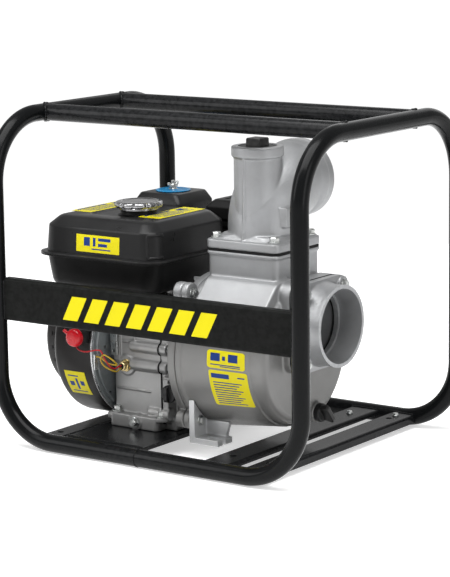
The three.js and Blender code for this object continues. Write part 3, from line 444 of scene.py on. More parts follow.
def piece(
    name, parts, look, nodes=(), body=ROOT, voxel=0, relax=0, cut=(), bevel=0, steps=2, sharp=38
):
    """Makes one visual piece. voxel fuses the parts into one cast skin and relax rounds it;
    cut is taken away afterwards with crisp edges; bevel rounds what edges are left."""
    obj = bpy.data.objects.new(name, mesh_of(name, parts))
    bpy.context.scene.collection.objects.link(obj)
    if voxel:
        remesh = obj.modifiers.new("fuse", "REMESH")
        remesh.mode = "VOXEL"
        remesh.voxel_size = voxel / 1000
        if relax:
            smooth = obj.modifiers.new("relax", "SMOOTH")
            smooth.factor = 0.5
            smooth.iterations = relax
        applied(obj)
    for tool_part in cut:
        tool = bpy.data.objects.new("tool", mesh_of("tool", [tool_part]))
        bpy.context.scene.collection.objects.link(tool)
        boolean = obj.modifiers.new("cut", "BOOLEAN")
        boolean.operation = "DIFFERENCE"
        boolean.solver = "EXACT"
        boolean.object = tool
        applied(obj)
        bpy.data.objects.remove(tool)
    obj.data.materials.clear()
    obj.data.materials.append(look)
    obj.data.shade_smooth()
    if bevel:
        edge = obj.modifiers.new("bevel", "BEVEL")
        edge.width = bevel / 1000
        edge.segments = steps
        edge.limit_method = "ANGLE"
        edge.angle_limit = math.radians(sharp)
        edge.use_clamp_overlap = True
        applied(obj)
        obj.data.shade_smooth()
        weigh = obj.modifiers.new("weigh", "WEIGHTED_NORMAL")
        weigh.keep_sharp = True
    obj.data.set_sharp_from_angle(angle=math.radians(sharp if not bevel else 60))
    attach(obj, body)
    if nodes:
        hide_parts(*([nodes] if isinstance(nodes, str) else nodes))
    return obj


def polished(node, look, body=ROOT, bevel=0.8, sharp=38):
    """The CAD node's own shape with its edges rounded."""
    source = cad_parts[node]
    obj = bpy.data.objects.new(node + "_fine", source.data.copy())
    bpy.context.scene.collection.objects.link(obj)
    work = bmesh.new()
    work.from_mesh(obj.data)
    bmesh.ops.remove_doubles(work, verts=work.verts, dist=1e-6)
    bmesh.ops.dissolve_limit(work, angle_limit=math.radians(1), verts=work.verts, edges=work.edges)
    work.to_mesh(obj.data)
    work.free()
    obj.data.materials.clear()
    obj.data.materials.append(look)
    edge = obj.modifiers.new("bevel", "BEVEL")
    edge.width = bevel / 1000
    edge.segments = 2
    edge.limit_method = "ANGLE"
    edge.angle_limit = math.radians(sharp)
    applied(obj)
    obj.data.shade_smooth()
    obj.data.set_sharp_from_angle(angle=math.radians(50))
    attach(obj, body)
    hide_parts(node)
    return obj


def hex_bolt(seat, axis, across, height, washer=None, spin=0.0):
    """A flanged hex head standing on its seat, with a chamfered crown."""
    along, side, up = axis_frame(axis)
    seat = Vector(seat)
    reach = across / math.sqrt(3)
    washer = washer or across * 0.62

    def ring(radius, h):
        return circle(seat + along * h, side, up, radius, 6, spin)

    head = loft([ring(reach, 1.4), ring(reach, height), ring(reach * 0.86, height + 1.1)])
    dish = lathe(axis, [(washer, 0), (washer, 1.2), (washer * 0.9, 1.7)], seat, 32)
    mark = lathe(axis, [(across * 0.28, height + 1.05), (across * 0.26, height + 1.35)], seat, 24)
    return [head, dish, mark]


# ---- Cords ------------------------------------------------------------------------------

STOP_LEAD = [
    (-168, -120, 8.6), (-166.9, -120.8, 5.1), (-163.9, -121.4, 2), (-158.8, -121.8, -0.4),
    (-151.9, -121.6, -1.4), (-144.5, -121, -0.7), (-137.4, -120, 1.1), (-131, -118.6, 2.4),
    (-125.8, -117.2, 2.2), (-123.2, -116, -0.7), (-121.9, -115, -4.9), (-120.5, -113.4, -9.8),
    (-118.9, -111.2, -14.7), (-117.1, -108.6, -19.7), (-115.1, -105.2, -23.9), (-113.3, -101, -26),
    (-112.4, -96, -26), (-112, -91, -24.6), (-112, -88, -24.2), (-112, -85.6, -24.2),
]
SENSOR_LEAD = [
    (-138.9, -109.8, -9.5), (-134.2, -109, -10), (-130.6, -107.4, -11.8), (-127, -105.6, -15.2),
    (-122.8, -103.6, -18.6), (-117.7, -101.4, -20.4), (-111.8, -100.6, -20.8), (-106, -103.4, -19.6),
    (-102.8, -108.2, -16.2), (-103.8, -112.4, -12.2), (-107.2, -115.2, -8.3), (-111.8, -117.8, -4.8),
    (-116.7, -119.2, -3.1), (-121, -119.6, -5.9), (-123.2, -118.8, -11.3), (-121.8, -117, -17),
    (-118.3, -115, -21.4), (-113.7, -111.6, -24.9), (-109.6, -106.6, -28.2), (-108.8, -100, -30.2),
    (-110.4, -94, -29.6), (-112, -89.4, -28.5), (-112, -85.6, -28.3),
]


def smooth_route(points, per_span=5):
    """A smooth curve through given points, as closely spaced points."""
    p = [Vector(q) for q in points]
    out = []
    for i in range(len(p) - 1):
        a, b, c, d = p[max(i - 1, 0)], p[i], p[i + 1], p[min(i + 2, len(p) - 1)]
        for s in range(per_span):
            t = s / per_span
            out.append(0.5 * (
                2 * b + (c - a) * t + (2 * a - 5 * b + 4 * c - d) * t * t + (3 * b - a - 3 * c + d) * t**3
            ))
    return [*out, p[-1]]


def lead(name, points, look, node):
    route = [place(*q) for q in smooth_route(points)]
    obj = piece(name, [tube(route, 1.1, 16)], look, node)


lead("stop_wire", STOP_LEAD, RED_WIRE, "stop_lead")
lead("sensor_wire", SENSOR_LEAD, YELLOW_WIRE, "sensor_lead")

# ---- Frame ------------------------------------------------------------------------------

loop_low, loop_high = box_mm("frame_loop_right")
TUBE_R = (loop_high.z - box_mm("top_rail_front")[0].z) / 2
HALF_X = loop_high.x - TUBE_R
HALF_Y = loop_high.y - TUBE_R
TOP_Z = loop_high.z - TUBE_R
BEND_R = 95
SEAM_X = loop_low.x
RAIL_Y = box_mm("top_rail_rear")[1].y - TUBE_R


def bent_route(corners, radius, steps=28):
    """Straight runs joined by round bends."""
    at = [Vector(c) for c in corners]
    points = [at[0]]
    for before, corner, after in zip(at, at[1:], at[2:]):
        into, out = (corner - before).normalized(), (after - corner).normalized()
        middle = corner - into * radius + out * radius
        for s in range(steps + 1):
            t = s / steps * math.pi / 2
            points.append(middle - out * (radius * math.cos(t)) + into * (radius * math.sin(t)))
    return [*points, at[-1]]


def loop_half(side):
    x, seam = side * HALF_X, SEAM_X + side * 0.15
    return tube(bent_route([
        (seam, -HALF_Y, TUBE_R), (x, -HALF_Y, TUBE_R), (x, -HALF_Y, TOP_Z), (x, HALF_Y, TOP_Z),
        (x, HALF_Y, TUBE_R), (seam, HALF_Y, TUBE_R),
    ], BEND_R), TUBE_R, 48)


for side, node in ((-1, "frame_loop_left"), (1, "frame_loop_right")):
    piece(f"{node}_tube", [loop_half(side)], BLACK_PAINT, node, sharp=50)

seam_rings = [
    bead(circle(Vector((SEAM_X, y, TUBE_R)), Vector((0, 1, 0)), Vector((0, 0, 1)), TUBE_R, 60), 0.9, True)
    for y in (-HALF_Y, HALF_Y)
]


def rail_bead(side, y):
    """The weld where a top rail meets the side tube: a saddle round the rail's end."""
    points = []
    for i in range(72):
        t = 2 * math.pi * i / 72
        reach = TUBE_R * abs(math.cos(t))
        points.append((side * (HALF_X - reach - 0.4), y + TUBE_R * math.cos(t), TOP_Z + TUBE_R * math.sin(t)))
    return bead(points, 2.1, True)


welds = [rail_bead(side, y) for side in (-1, 1) for y in (-RAIL_Y, RAIL_Y)]

for y, node in ((-RAIL_Y, "top_rail_front"), (RAIL_Y, "top_rail_rear")):
    run = [(x, y, TOP_Z) for x in (-HALF_X + 4, HALF_X - 4)]
    piece(f"{node}_tube", [tube(run, TUBE_R - 0.03, 48)], BLACK_PAINT, node, sharp=50)


def folded(route, sheet, radius, steps=5):
    """Closed outline of a sheet of even thickness folded along a route, with round folds."""
    pts = [Vector((*p, 0)) for p in route]
    middle, sides = [], []
    for i, p in enumerate(pts):
        if i in (0, len(pts) - 1):
            ahead = (pts[1] - pts[0] if i == 0 else pts[-1] - pts[-2]).normalized()
            middle.append(p)
            sides.append(Vector((-ahead.y, ahead.x, 0)))
            continue
        into, out = (p - pts[i - 1]).normalized(), (pts[i + 1] - p).normalized()
        centre = p - into * radius + out * radius
        for s in range(steps + 1):
            t = s / steps * math.pi / 2
            ahead = into * math.cos(t) + out * math.sin(t)
            middle.append(centre - out * (radius * math.cos(t)) + into * (radius * math.sin(t)))
            sides.append(Vector((-ahead.y, ahead.x, 0)))
    left = [m + s * sheet / 2 for m, s in zip(middle, sides)]
    right = [m - s * sheet / 2 for m, s in zip(middle, sides)]
    return [(p.x, p.y) for p in [*left, *reversed(right)]]


panel_low, panel_high = box_mm("front_panel")
PANEL_FACE = panel_low.y
lip_back = panel_high.y
panel_outline = folded([
    (lip_back, panel_low.z + 1), (PANEL_FACE + 1, panel_low.z + 1), (PANEL_FACE + 1, panel_high.z - 1),
    (lip_back, panel_high.z - 1),
], 2, 3.5)
piece(
    "front_panel_sheet", [prism("x", panel_outline, -HALF_X + TUBE_R - 1, HALF_X - TUBE_R + 1)],
    PANEL_PAINT, "front_panel", bevel=0.4, sharp=50,
)
for side in (-1, 1):
    for y in (PANEL_FACE + 0.3, PANEL_FACE + 9):
        x = side * (HALF_X - math.sqrt(max(TUBE_R**2 - (y + HALF_Y) ** 2, 0)) - 0.3)
        heights = [panel_low.z + 2 + i * 1.6 for i in range(int((panel_high.z - panel_low.z - 4) / 1.6))]
        welds.append(bead([(x, y, z) for z in heights], 1.5))


def slats(x0, x1, z0, z1, count, lean, face, thick=0.25):
    """A row of leaning blocks: a plain painted mark."""
    pitch = (x1 - x0 - lean) / count
    out = []
    for i in range(count):
        a = x0 + i * pitch
        b = a + pitch * 0.7
        out.append(prism("y", [(a, z0), (b, z0), (b + lean, z1), (a + lean, z1)], face - thick, face))
    return out


piece("panel_mark", slats(-142, 142, 199, 234, 7, 18, PANEL_FACE), PANEL_YELLOW)

left_low, left_high = box_mm("cross_bar_left")
right_low, right_high = box_mm("cross_bar_right")
chan_low, chan_high = box_mm("cross_channel")
plate_low, plate_high = box_mm("engine_plate")


def bar_run(low, high):
    return low.y - 3, high.y + 3


left_outline = folded([
    (left_high.x, left_high.z - 1.5), (left_low.x + 1.5, left_high.z - 1.5),
    (left_low.x + 1.5, left_low.z),
], 3, 3.5)
right_outline = folded([
    (right_low.x, right_high.z - 1.5), (right_high.x - 1.5, right_high.z - 1.5),
    (right_high.x - 1.5, right_high.z - 13),
], 3, 3.5)
chan_outline = folded([
    (chan_low.x + 1.5, chan_low.z), (chan_low.x + 1.5, chan_high.z - 1.5),
    (chan_high.x - 1.5, chan_high.z - 1.5), (chan_high.x - 1.5, chan_high.z - 8),
], 3, 3.5)


def bar(name, outline, low, high, holes=()):
    mid = [((low.x + high.x) / 2 + dx, y) for dx, y in holes]
    cuts = [rod("z", 4.5, 0, 60, (x, y, 0), 32) for x, y in mid]
    part = prism("y", outline, *bar_run(low, high))
    piece(name + "_steel", [part], BLACK_PAINT, name, cut=cuts, bevel=0.35, sharp=50)
    for end in (-1, 1):
        y = end * (HALF_Y - TUBE_R + 0.6)
        xs = [low.x + 1 + i * 1.7 for i in range(int((high.x - low.x - 2) / 1.7))]
        welds.append(bead([(x, y, high.z + 0.2) for x in xs], 1.4))


bar("cross_bar_left", left_outline, left_low, left_high, [(0, -172), (0, 172)])
bar("cross_bar_right", right_outline, right_low, right_high, [(-3, -157), (-3, 157)])
bar("cross_channel", chan_outline, chan_low, chan_high, [(0, -150)])
rail_bolts = hex_bolt(((chan_low.x + chan_high.x) / 2, 152, chan_high.z), "z", 8, 3)
rail_bolts += hex_bolt(((right_low.x + right_high.x) / 2 - 3, 176, right_high.z), "z", 8, 3)
piece("rail_bolts", rail_bolts, ZINC, sharp=30)
plate_outline = [
    (plate_low.x, plate_low.z), (plate_high.x, plate_low.z), (plate_high.x, plate_high.z),
    (plate_low.x, plate_high.z),
]
bar("engine_plate", plate_outline, plate_low, plate_high)
piece("weld_beads", welds, BLACK_PAINT, sharp=180)
piece("seam_beads", seam_rings, BLACK_PAINT, sharp=180)

# ---- Fuel tank --------------------------------------------------------------------------

tank_low, tank_high = box_mm("tank_upper")
under_low, under_high = box_mm("tank_lower")
TANK_AT = ((under_low.x + under_high.x) / 2, (under_low.y + under_high.y) / 2)
LIP = 8  # the joining lip stands this far out
TANK_HX, TANK_HY = (under_high.x - under_low.x) / 2 - LIP, (under_high.y - under_low.y) / 2 - LIP
SEAM_Z = tank_low.z
TANK_TOP = tank_high.z - 6  # the neck stands 6 mm above the top


def shell(levels):
    return tiers(TANK_AT, [(z, TANK_HX - inset, TANK_HY - inset, r) for z, inset, r in levels], 12)


upper_levels = [
    (SEAM_Z, 0.6, 26), (SEAM_Z + 8, 1.0, 26), (SEAM_Z + 24, 2.0, 26), (SEAM_Z + 38, 2.9, 26),
    (SEAM_Z + 40.6, 3.2, 26), (SEAM_Z + 42.0, 4.0, 25.5), (SEAM_Z + 43.2, 5.3, 25),
    (SEAM_Z + 51.8, 15.2, 18.6), (SEAM_Z + 53.4, 17.4, 17.4), (SEAM_Z + 54.6, 19.8, 16.5),
    (SEAM_Z + 55.2, 22.4, 15.5), (TANK_TOP, 27, 14), (TANK_TOP + 0.05, 60, 6),
]
lip_levels = [
    (SEAM_Z - 0.2, -LIP + 1.2, 32), (SEAM_Z - 0.1, -LIP, 33), (SEAM_Z + 0.9, -LIP - 0.4, 33.4),
    (SEAM_Z + 1.9, -LIP, 33), (SEAM_Z + 2.3, -LIP + 1.2, 32), (SEAM_Z + 2.3, 1, 26),
]
cap_low, cap_high = box_mm("fuel_cap")
CAP_AT = Vector(((cap_low.x + cap_high.x) / 2, (cap_low.y + cap_high.y) / 2, cap_low.z))
neck = lathe("z", [(31, -7.2), (28.5, -6.6), (27, -5), (27, -0.6), (26, -0.3)], CAP_AT, 72)
channel = tiers((-142, -10), [
    (TANK_TOP - 2.0, 38, 81, 7), (TANK_TOP - 1.6, 39.6, 82.6, 8), (TANK_TOP - 0.3, 41.4, 84.4, 9),
    (TANK_TOP + 0.2, 43, 86, 10), (TANK_TOP + 5, 43, 86, 10),
], 8)
piece(
    "tank_shell_upper", [shell(upper_levels)], TANK_PAINT, "tank_upper", cut=[channel],
    sharp=44,
)
piece("tank_lip_upper", [shell(lip_levels)], TANK_PAINT, sharp=44)
piece("tank_filler_neck", [neck], TANK_UNDER, sharp=44)

lower_levels = [
    (under_low.z, 20, 14), (under_low.z + 0.6, 15, 17), (under_low.z + 2.4, 10.6, 20),
    (under_low.z + 5.5, 7.6, 23), (under_low.z + 10, 5.8, 25), (under_low.z + 24, 3.8, 26),
    (under_low.z + 38, 2.2, 26), (under_high.z, 1.2, 26),
]
lower_lip = [
    (under_high.z - 2.4, 1, 26), (under_high.z - 2.4, -LIP + 1.2, 32), (under_high.z - 2, -LIP, 33),
    (under_high.z - 0.9, -LIP - 0.3, 33.3), (under_high.z - 0.1, -LIP, 33),
    (under_high.z, -LIP + 1.2, 32),
]
piece(
    "tank_shell_lower", [shell(lower_levels), shell(lower_lip)], TANK_UNDER, "tank_lower",
    sharp=44,
)


def tank_wall(along_front, height, lift):
    """A point on the tank's front wall and round its right corner, by distance from the corner's start."""
    inset = 0.6 + (height - SEAM_Z) / 41 * 2.6
    hx, hy, r = TANK_HX - inset + lift, TANK_HY - inset + lift, 26 + lift
    corner = Vector((TANK_AT[0] + hx - r, TANK_AT[1] - hy + r, height))
    if along_front <= 0:
        return corner + Vector((along_front, -r, 0))
    t = min(along_front / r, math.pi / 2)
    return corner + Vector((r * math.sin(t), -r * math.cos(t), 0))


emboss = [tank_wall(36 - 2 * i, SEAM_Z + 38.5, -1.5) for i in range(12)]
emboss += [tank_wall(12.5, SEAM_Z + 35.5 - 2.4 * i, -1.5) for i in range(12)]
emboss += [tank_wall(14 + 2 * i, SEAM_Z + 6, -1.5) for i in range(12)]
piece("tank_emboss", [tube(smooth_route(emboss, 2), 2.7, 16)], TANK_PAINT, sharp=180)


def film(name, corners, look, radius=2.0, thick=0.3):
    """A flat label with round corners, between two edge directions from a corner point."""
    origin, right, up = (Vector(c) for c in corners)
    out = right.cross(up).normalized() * thick
    size = (right.length / 2, up.length / 2)
    ex, ey = right.normalized(), up.normalized()
    flat = [
        origin + ex * (a + size[0]) + ey * (b + size[1])
        for a, b in rounded_rect((0, 0), size, radius, 5)
    ]
    part = loft([[p - out * 0.2 for p in flat], [p + out for p in flat]])
    return piece(name, [part], look, sharp=50)


def ink_bars(name, corners, rows, look, lift=0.36):
    """Plain bars laid on a label: each row is (start, end, low, high) in shares of its size."""
    origin, right, up = (Vector(c) for c in corners)
    out = right.cross(up).normalized()
    parts = []
    for a0, a1, b0, b1 in rows:
        flat = [origin + right * a + up * b for a, b in ((a0, b0), (a1, b0), (a1, b1), (a0, b1))]
        parts.append(loft([[p + out * (lift - 0.12) for p in flat], [p + out * (lift + 0.05) for p in flat]]))
    return piece(name, parts, look, sharp=50)


front_wall = tank_wall(-40, SEAM_Z + 7.5, 0.15).y
front_slope = Vector((0, tank_wall(-40, SEAM_Z + 32.5, 0.15).y - front_wall, 25))
front_film = ((-170, front_wall, SEAM_Z + 7.5), (79, 0, 0), front_slope)
film("tank_front_label", front_film, YELLOW_FILM, 1.0)
ink_bars("tank_front_ink", front_film, [
    (0.18, 0.32, 0.36, 0.86), (0.39, 0.45, 0.36, 0.86), (0.51, 0.80, 0.68, 0.86),
    (0.51, 0.72, 0.36, 0.54), (0.36, 0.80, 0.16, 0.23),
], BLUE_INK)
for side, left, along in (("left", -223, 124), ("right", -98, 112)):
    strip = ((left, -86, TANK_TOP + 0.1), (37 if side == "left" else 39, 0, 0), (0, along, 0))
    film("tank_top_label_" + side, strip, YELLOW_FILM, 1.5)
    ink_bars("tank_top_ink_" + side, strip, [
        (0.08, 0.22, 0.06, 0.62), (0.34, 0.40, 0.10, 0.90), (0.50, 0.56, 0.10, 0.84),
        (0.66, 0.72, 0.10, 0.88), (0.12, 0.42, 0.72, 0.86), (0.80, 0.86, 0.16, 0.60),
    ], BLUE_INK)


def cap_lobes(t, r):
    return r - (1.9 * max(0.0, math.cos(11 * t)) ** 1.5 if r > 33.6 else 0)


cap_profile = [
    (29, 0.3), (29, 3.6), (33.4, 3.6), (34.6, 4.2), (35, 5.2), (35, 9.4), (34.4, 10.8), (33, 11.7),
    (30.6, 12.2), (27, 12.3), (26, 11.7), (24.5, 11.5), (10, 12.0), (0, 12.1),
]
piece(
    "fuel_cap_pressing", [lathe("z", cap_profile, CAP_AT, 192, cap_lobes)], CHROME, "fuel_cap",
    "fuel_cap", sharp=40,
)

# ---- Air cleaner, carburettor, muffler ---------------------------------------------------

clean_low, clean_high = box_mm("air_cleaner_cover")
CLEAN_AT = ((clean_low.x + clean_high.x) / 2, (clean_low.y + clean_high.y) / 2)
CLEAN_H = (clean_high.x - clean_low.x) / 2
z0, z1 = clean_low.z, clean_high.z
cover_levels = [
    (z0, CLEAN_H - 0.4, CLEAN_H - 0.4, 8), (z0 + 1, CLEAN_H, CLEAN_H, 8.4),
    (z0 + 5, CLEAN_H, CLEAN_H, 8.4), (z0 + 6, CLEAN_H - 1.6, CLEAN_H - 1.6, 7.4),
    (z0 + 24, CLEAN_H - 2.2, CLEAN_H - 2.2, 7.4), (z0 + 25, CLEAN_H - 0.9, CLEAN_H - 0.9, 8),
    (z1 - 15, CLEAN_H - 1.2, CLEAN_H - 1.2, 8), (z1 - 13, CLEAN_H - 2, CLEAN_H - 1.8, 8),
    (z1 - 1.6, 36.4, 39.4, 7), (z1 - 0.5, 35, 38, 6.4), (z1, 33, 36, 6),
]
piece(
    "air_cleaner_lid", [tiers(CLEAN_AT, cover_levels, 8)], TANK_PAINT, "air_cleaner_cover",
    sharp=30,
)
base_low, base_high = box_mm("air_cleaner_base")
piece("air_cleaner_tray", [tiers(CLEAN_AT, [
    (base_low.z, 39, 39, 8), (base_low.z + 2, 41.6, 41.6, 9), (base_high.z - 4, 42, 42, 9),
    (base_high.z - 3, 43.6, 43.6, 10), (base_high.z, 43.6, 43.6, 10),
])], BLACK_PLASTIC, "air_cleaner_base", sharp=30)
lid_top = Vector((*CLEAN_AT, z1))
piece("air_cleaner_washer", [lathe("z", [
    (5, 0.0), (26, 0.0), (27, 0.6), (27, 1.4), (26, 2.0), (22, 2.3), (19, 1.6), (9, 1.8), (7, 2.4),
    (5, 2.4),
], lid_top, 64, closed=True)], BLUE_PLASTIC, sharp=30)
nut_parts = [
    lathe("z", [(7.5, 0.3), (7.5, 2), (5.5, 3.4), (4.6, 9), (3.6, 10.4)], lid_top, 32),
    rod("z", 2.4, 8, 16, lid_top, 20),
]
for side in (-1, 1):
    wing = [(3.2, 3), (9, 5), (12.5, 9.5), (12.2, 13.4), (9, 13.2), (6, 9.2), (3.2, 8)]
    ring = [lid_top + Vector((0, side * y, z)) for y, z in wing]
    nut_parts.append(loft([[p + Vector((x, 0, 0)) for p in ring] for x in (-1.7, 1.7)]))
piece("wing_nut_cast", nut_parts, ZINC, "wing_nut", "wing_nut", voxel=0.5, relax=3, sharp=60)

guard_low, guard_high = box_mm("muffler_guard")
GUARD_AT = ((guard_low.x + guard_high.x) / 2, (guard_low.y + guard_high.y) / 2)
gx, gy = (guard_high.x - guard_low.x) / 2, (guard_high.y - guard_low.y) / 2
vents = [
    block((guard_low.x + 14, guard_high.x - 14), (guard_low.y - 5, guard_low.y + 5), (z, z + 4.5))
    for z in (guard_low.z + 14, guard_low.z + 25, guard_low.z + 36, guard_low.z + 47)
]
vents += [
    block((guard_high.x - 5, guard_high.x + 5), (guard_low.y + 14, guard_high.y - 14), (z, z + 4.5))
    for z in (guard_low.z + 14, guard_low.z + 25, guard_low.z + 36, guard_low.z + 47)
]
vents += [
    block((x, x + 5), (GUARD_AT[1] - 24, GUARD_AT[1] + 24), (guard_high.z - 6, guard_high.z + 5))
    for x in (GUARD_AT[0] - 20, GUARD_AT[0] - 8, GUARD_AT[0] + 4, GUARD_AT[0] + 16)
]
hood = tiers(GUARD_AT, [(z, gx - i, gy - i, r) for z, i, r in (
    (guard_low.z, 0, 8), (guard_high.z - 11, 0, 8), (guard_high.z - 8.5, 0.8, 8),
    (guard_high.z - 2, 8, 7), (guard_high.z, 10.5, 6), (guard_high.z, 20, 5),
)], 6)
hood_space = tiers(GUARD_AT, [
    (guard_low.z - 2, gx - 2, gy - 2, 6), (guard_high.z - 11, gx - 2, gy - 2, 6),
    (guard_high.z - 2, gx - 12, gy - 12, 5),
], 6)
piece(
    "muffler_hood", [hood], TANK_UNDER, "muffler_guard", cut=[hood_space, *vents],
    bevel=0.5, sharp=40,
)
polished("muffler", BLACK_PAINT, bevel=2.5)
polished("carburettor", ENGINE_CAST, bevel=1.5)
polished("rocker_cover", BLACK_PAINT, bevel=2.0)
polished("spark_plug", RUBBER, bevel=1.2)
for node in ("choke_lever", "fuel_valve_lever"):
    polished(node, BLACK_PLASTIC, node, bevel=0.7)
polished("throttle_lever", ZINC, "throttle_lever", bevel=0.5)

# ---- Shroud and starter -----------------------------------------------------------------

shroud_low, shroud_high = box_mm("fan_shroud")
SX0, SX1 = shroud_low.x, shroud_high.x
SHROUD_Z = -4  # the round of the shroud sits below the shaft
SHROUD_R = SHAFT.z + SHROUD_Z - shroud_low.z
FLAT_TOP = shroud_high.z - SHAFT.z
DUCT_BACK = shroud_high.y - SHAFT.y


def shroud_ring(x, inset, count=180):
    """The shroud's section: round, cut flat under the tank, with a square duct to the rear."""
    r, top, back = SHROUD_R - inset, FLAT_TOP - SHROUD_Z - inset, DUCT_BACK - inset
    ring = []
    for i in range(count):
        t = 2 * math.pi * i / count
        c, s = math.cos(t), math.sin(t)
        reach = r
        if s > 0 and c >= 0:
            reach = max(reach, min(back / max(c, 1e-6), top / max(s, 1e-6)))
        if s > 0:
            reach = min(reach, top / s)
        ring.append(place(x, reach * c, SHROUD_Z + reach * s))
    return ring


def round_hole(x, radius, count=180):
    return [
        place(x, radius * math.cos(2 * math.pi * i / count), radius * math.sin(2 * math.pi * i / count))
        for i in range(count)
    ]


shroud_rings = [
    shroud_ring(SX1, 0.2), shroud_ring(SX1 - 0.6, -0.4), shroud_ring(SX1 - 3, -0.4),
    shroud_ring(SX1 - 3.6, 0.2), shroud_ring(SX0 + 9, 0), shroud_ring(SX0 + 5, 0.8),
    shroud_ring(SX0 + 2, 3), shroud_ring(SX0 + 0.6, 6), shroud_ring(SX0, 10), round_hole(SX0, 85),
    round_hole(SX0 + 2.5, 85), shroud_ring(SX0 + 2.5, 9), shroud_ring(SX0 + 9, 2.5),
    shroud_ring(SX1, 2.5),
]
piece(
    "fan_shroud_pressing", [loft(shroud_rings, closed=True)], SHROUD_PAINT, "fan_shroud",
    sharp=36,
)
rim_ring = [place(SX1 - 0.3, p.y - SHAFT.y, p.z - SHAFT.z) for p in shroud_ring(0, 0.9)]
piece("shroud_rim", [tube(rim_ring, 1.7, 12, True)], MACHINED, sharp=180)

recoil_low, recoil_high = box_mm("recoil_cover")
RX0, RX1 = recoil_low.x, recoil_high.x
RR = recoil_high.z - SHAFT.z
recoil_profile = [
    (RR - 3, RX1), (RR, RX1), (RR, RX1 - 6), (RR - 0.2, RX0 + 12), (RR - 1.2, RX0 + 8.6),
    (RR - 3.4, RX0 + 5.8), (80, RX0 + 3.6), (72, RX0 + 1.8), (62, RX0 + 0.8), (46, RX0 + 0.3), (34, RX0),
    (30, RX0 + 1.2), (28, RX0 + 2.2), (8, RX0 + 2.0), (0, RX0 + 1.8), (0, RX0 + 4), (62, RX0 + 4),
    (78, RX0 + 7), (RR - 4, RX0 + 12), (RR - 3, RX0 + 22),
]
louvres = []
for i in range(20):
    slot_cut = block((RX0 - 4, RX0 + 26), (-3.2, 3.2), (40, 70))
    slot_cut = spun(slot_cut, "z", math.radians(12), (RX0, 0, 55))
    louvres.append(at_shaft(spun(slot_cut, "x", math.radians(9 + i * 18), (0, 0, 0))))
side_slots = []
for i in range(26):
    angle = math.radians(i * 360 / 26)
    slot_cut = block((RX0 + 18, RX1 - 6), (-2.6, 2.6), (RR - 1.1, RR + 6))
    side_slots.append(at_shaft(spun(slot_cut, "x", angle, (0, 0, 0))))
piece(
    "recoil_housing", [at_shaft(lathe("x", recoil_profile, (0, 0, 0), 128))], SHROUD_PAINT,
    "recoil_cover", cut=[joined(louvres), joined(side_slots)], sharp=34,
)
recoil_bolts = []
for i in range(4):
    t = math.radians(35 + i * 90)
    seat = place(RX0 + 17, (RR + 5) * math.cos(t), (RR + 5) * math.sin(t)) + Vector((15.6, 0, 0))
    recoil_bolts += hex_bolt(seat, "-x", 8, 4)
piece("recoil_screws", recoil_bolts, ZINC, sharp=30)
polished("recoil_grip", BLACK_PLASTIC, "recoil_grip", bevel=1.2)
polished("flywheel", ENGINE_CAST, "rotor", bevel=0.6)
polished("crankshaft", ZINC, "rotor", bevel=0.6)
polished("piston", ENGINE_CAST, "piston", bevel=0.6)
polished("cylinder_head", ENGINE_CAST, bevel=0.6)

baffle_low, baffle_high = box_mm("baffle_plate")
baffle_ring = []
for p in shroud_ring(0, 1.0, 160):
    baffle_ring.append((p.y, max(p.z, baffle_low.z)))
baffle_ring = [
    (y, min(z, baffle_high.z))
    for y, z in baffle_ring
    if math.hypot(y - SHAFT.y, z - SHAFT.z - SHROUD_Z) < SHROUD_R + 1
]
baffle_cuts = [
    rod("x", 2.4, -160, -130, place(0, y, z), 24)
    for y, z in ((-96, 34), (-84, 0), (-64, -19), (-74, -70))
]
baffle_cuts.append(rod("x", 29, -160, -130, place(0, 0, 0), 48))
piece(
    "baffle_pressing", [prism("x", baffle_ring, baffle_low.x, baffle_high.x)], BAFFLE_ZINC,
    "baffle_plate", cut=baffle_cuts, bevel=0.3, sharp=50,
)
rib = [
    place(-141.6, -104 * math.cos(t), SHROUD_Z + 104 * math.sin(t))
    for t in (math.radians(a) for a in range(-50, 42, 2))
]
piece("baffle_rib", [tube(rib, 2.2, 14)], BAFFLE_ZINC, sharp=180)
tab = prism("y", rounded_rect((-131, SHAFT.z + 20), (6, 32), 2.5, 4), -108, -105.6)
tab_holes = [rod("y", 2.3, -120, -90, (-131, 0, SHAFT.z + z), 20) for z in (36, -6)]
piece("bracket_tab", [tab], ZINC, cut=tab_holes, bevel=0.4, sharp=50)

box_low, box_high = box_mm("switch_box")
KNOB = Vector((box_low.x + 14, box_mm("switch_knob")[1].y, (box_low.z + box_high.z) / 2))
knob_profile = [
    (10, 0), (12.6, 0.2), (13.3, 1.2), (13.5, 3), (13.3, 7), (12.4, 9.2), (10.6, 11.1), (7.6, 12.4),
    (4, 12.9), (0, 13),
]
knob_parts = [lathe("-y", knob_profile, KNOB, 64, lambda t, r: r * (1 + 0.012 * math.cos(18 * t)))]
tail_points = [KNOB + Vector((-7 - 2.4 * i, -6, 3.6 + 1.2 * i)) for i in range(6)]
knob_parts.append(tube(tail_points, 2.7, 18, wobble=lambda i: (1.1, 1, 0.95, 0.95, 1.0, 0.8)[i]))
piece(
    "stop_switch_knob", knob_parts, RED_PLASTIC, "switch_knob", "switch_knob", voxel=0.6,
    relax=4, sharp=60,
)
polished("switch_box", BLACK_PLASTIC, bevel=1.8)
polished("lead_clip", ZINC, bevel=0.3)

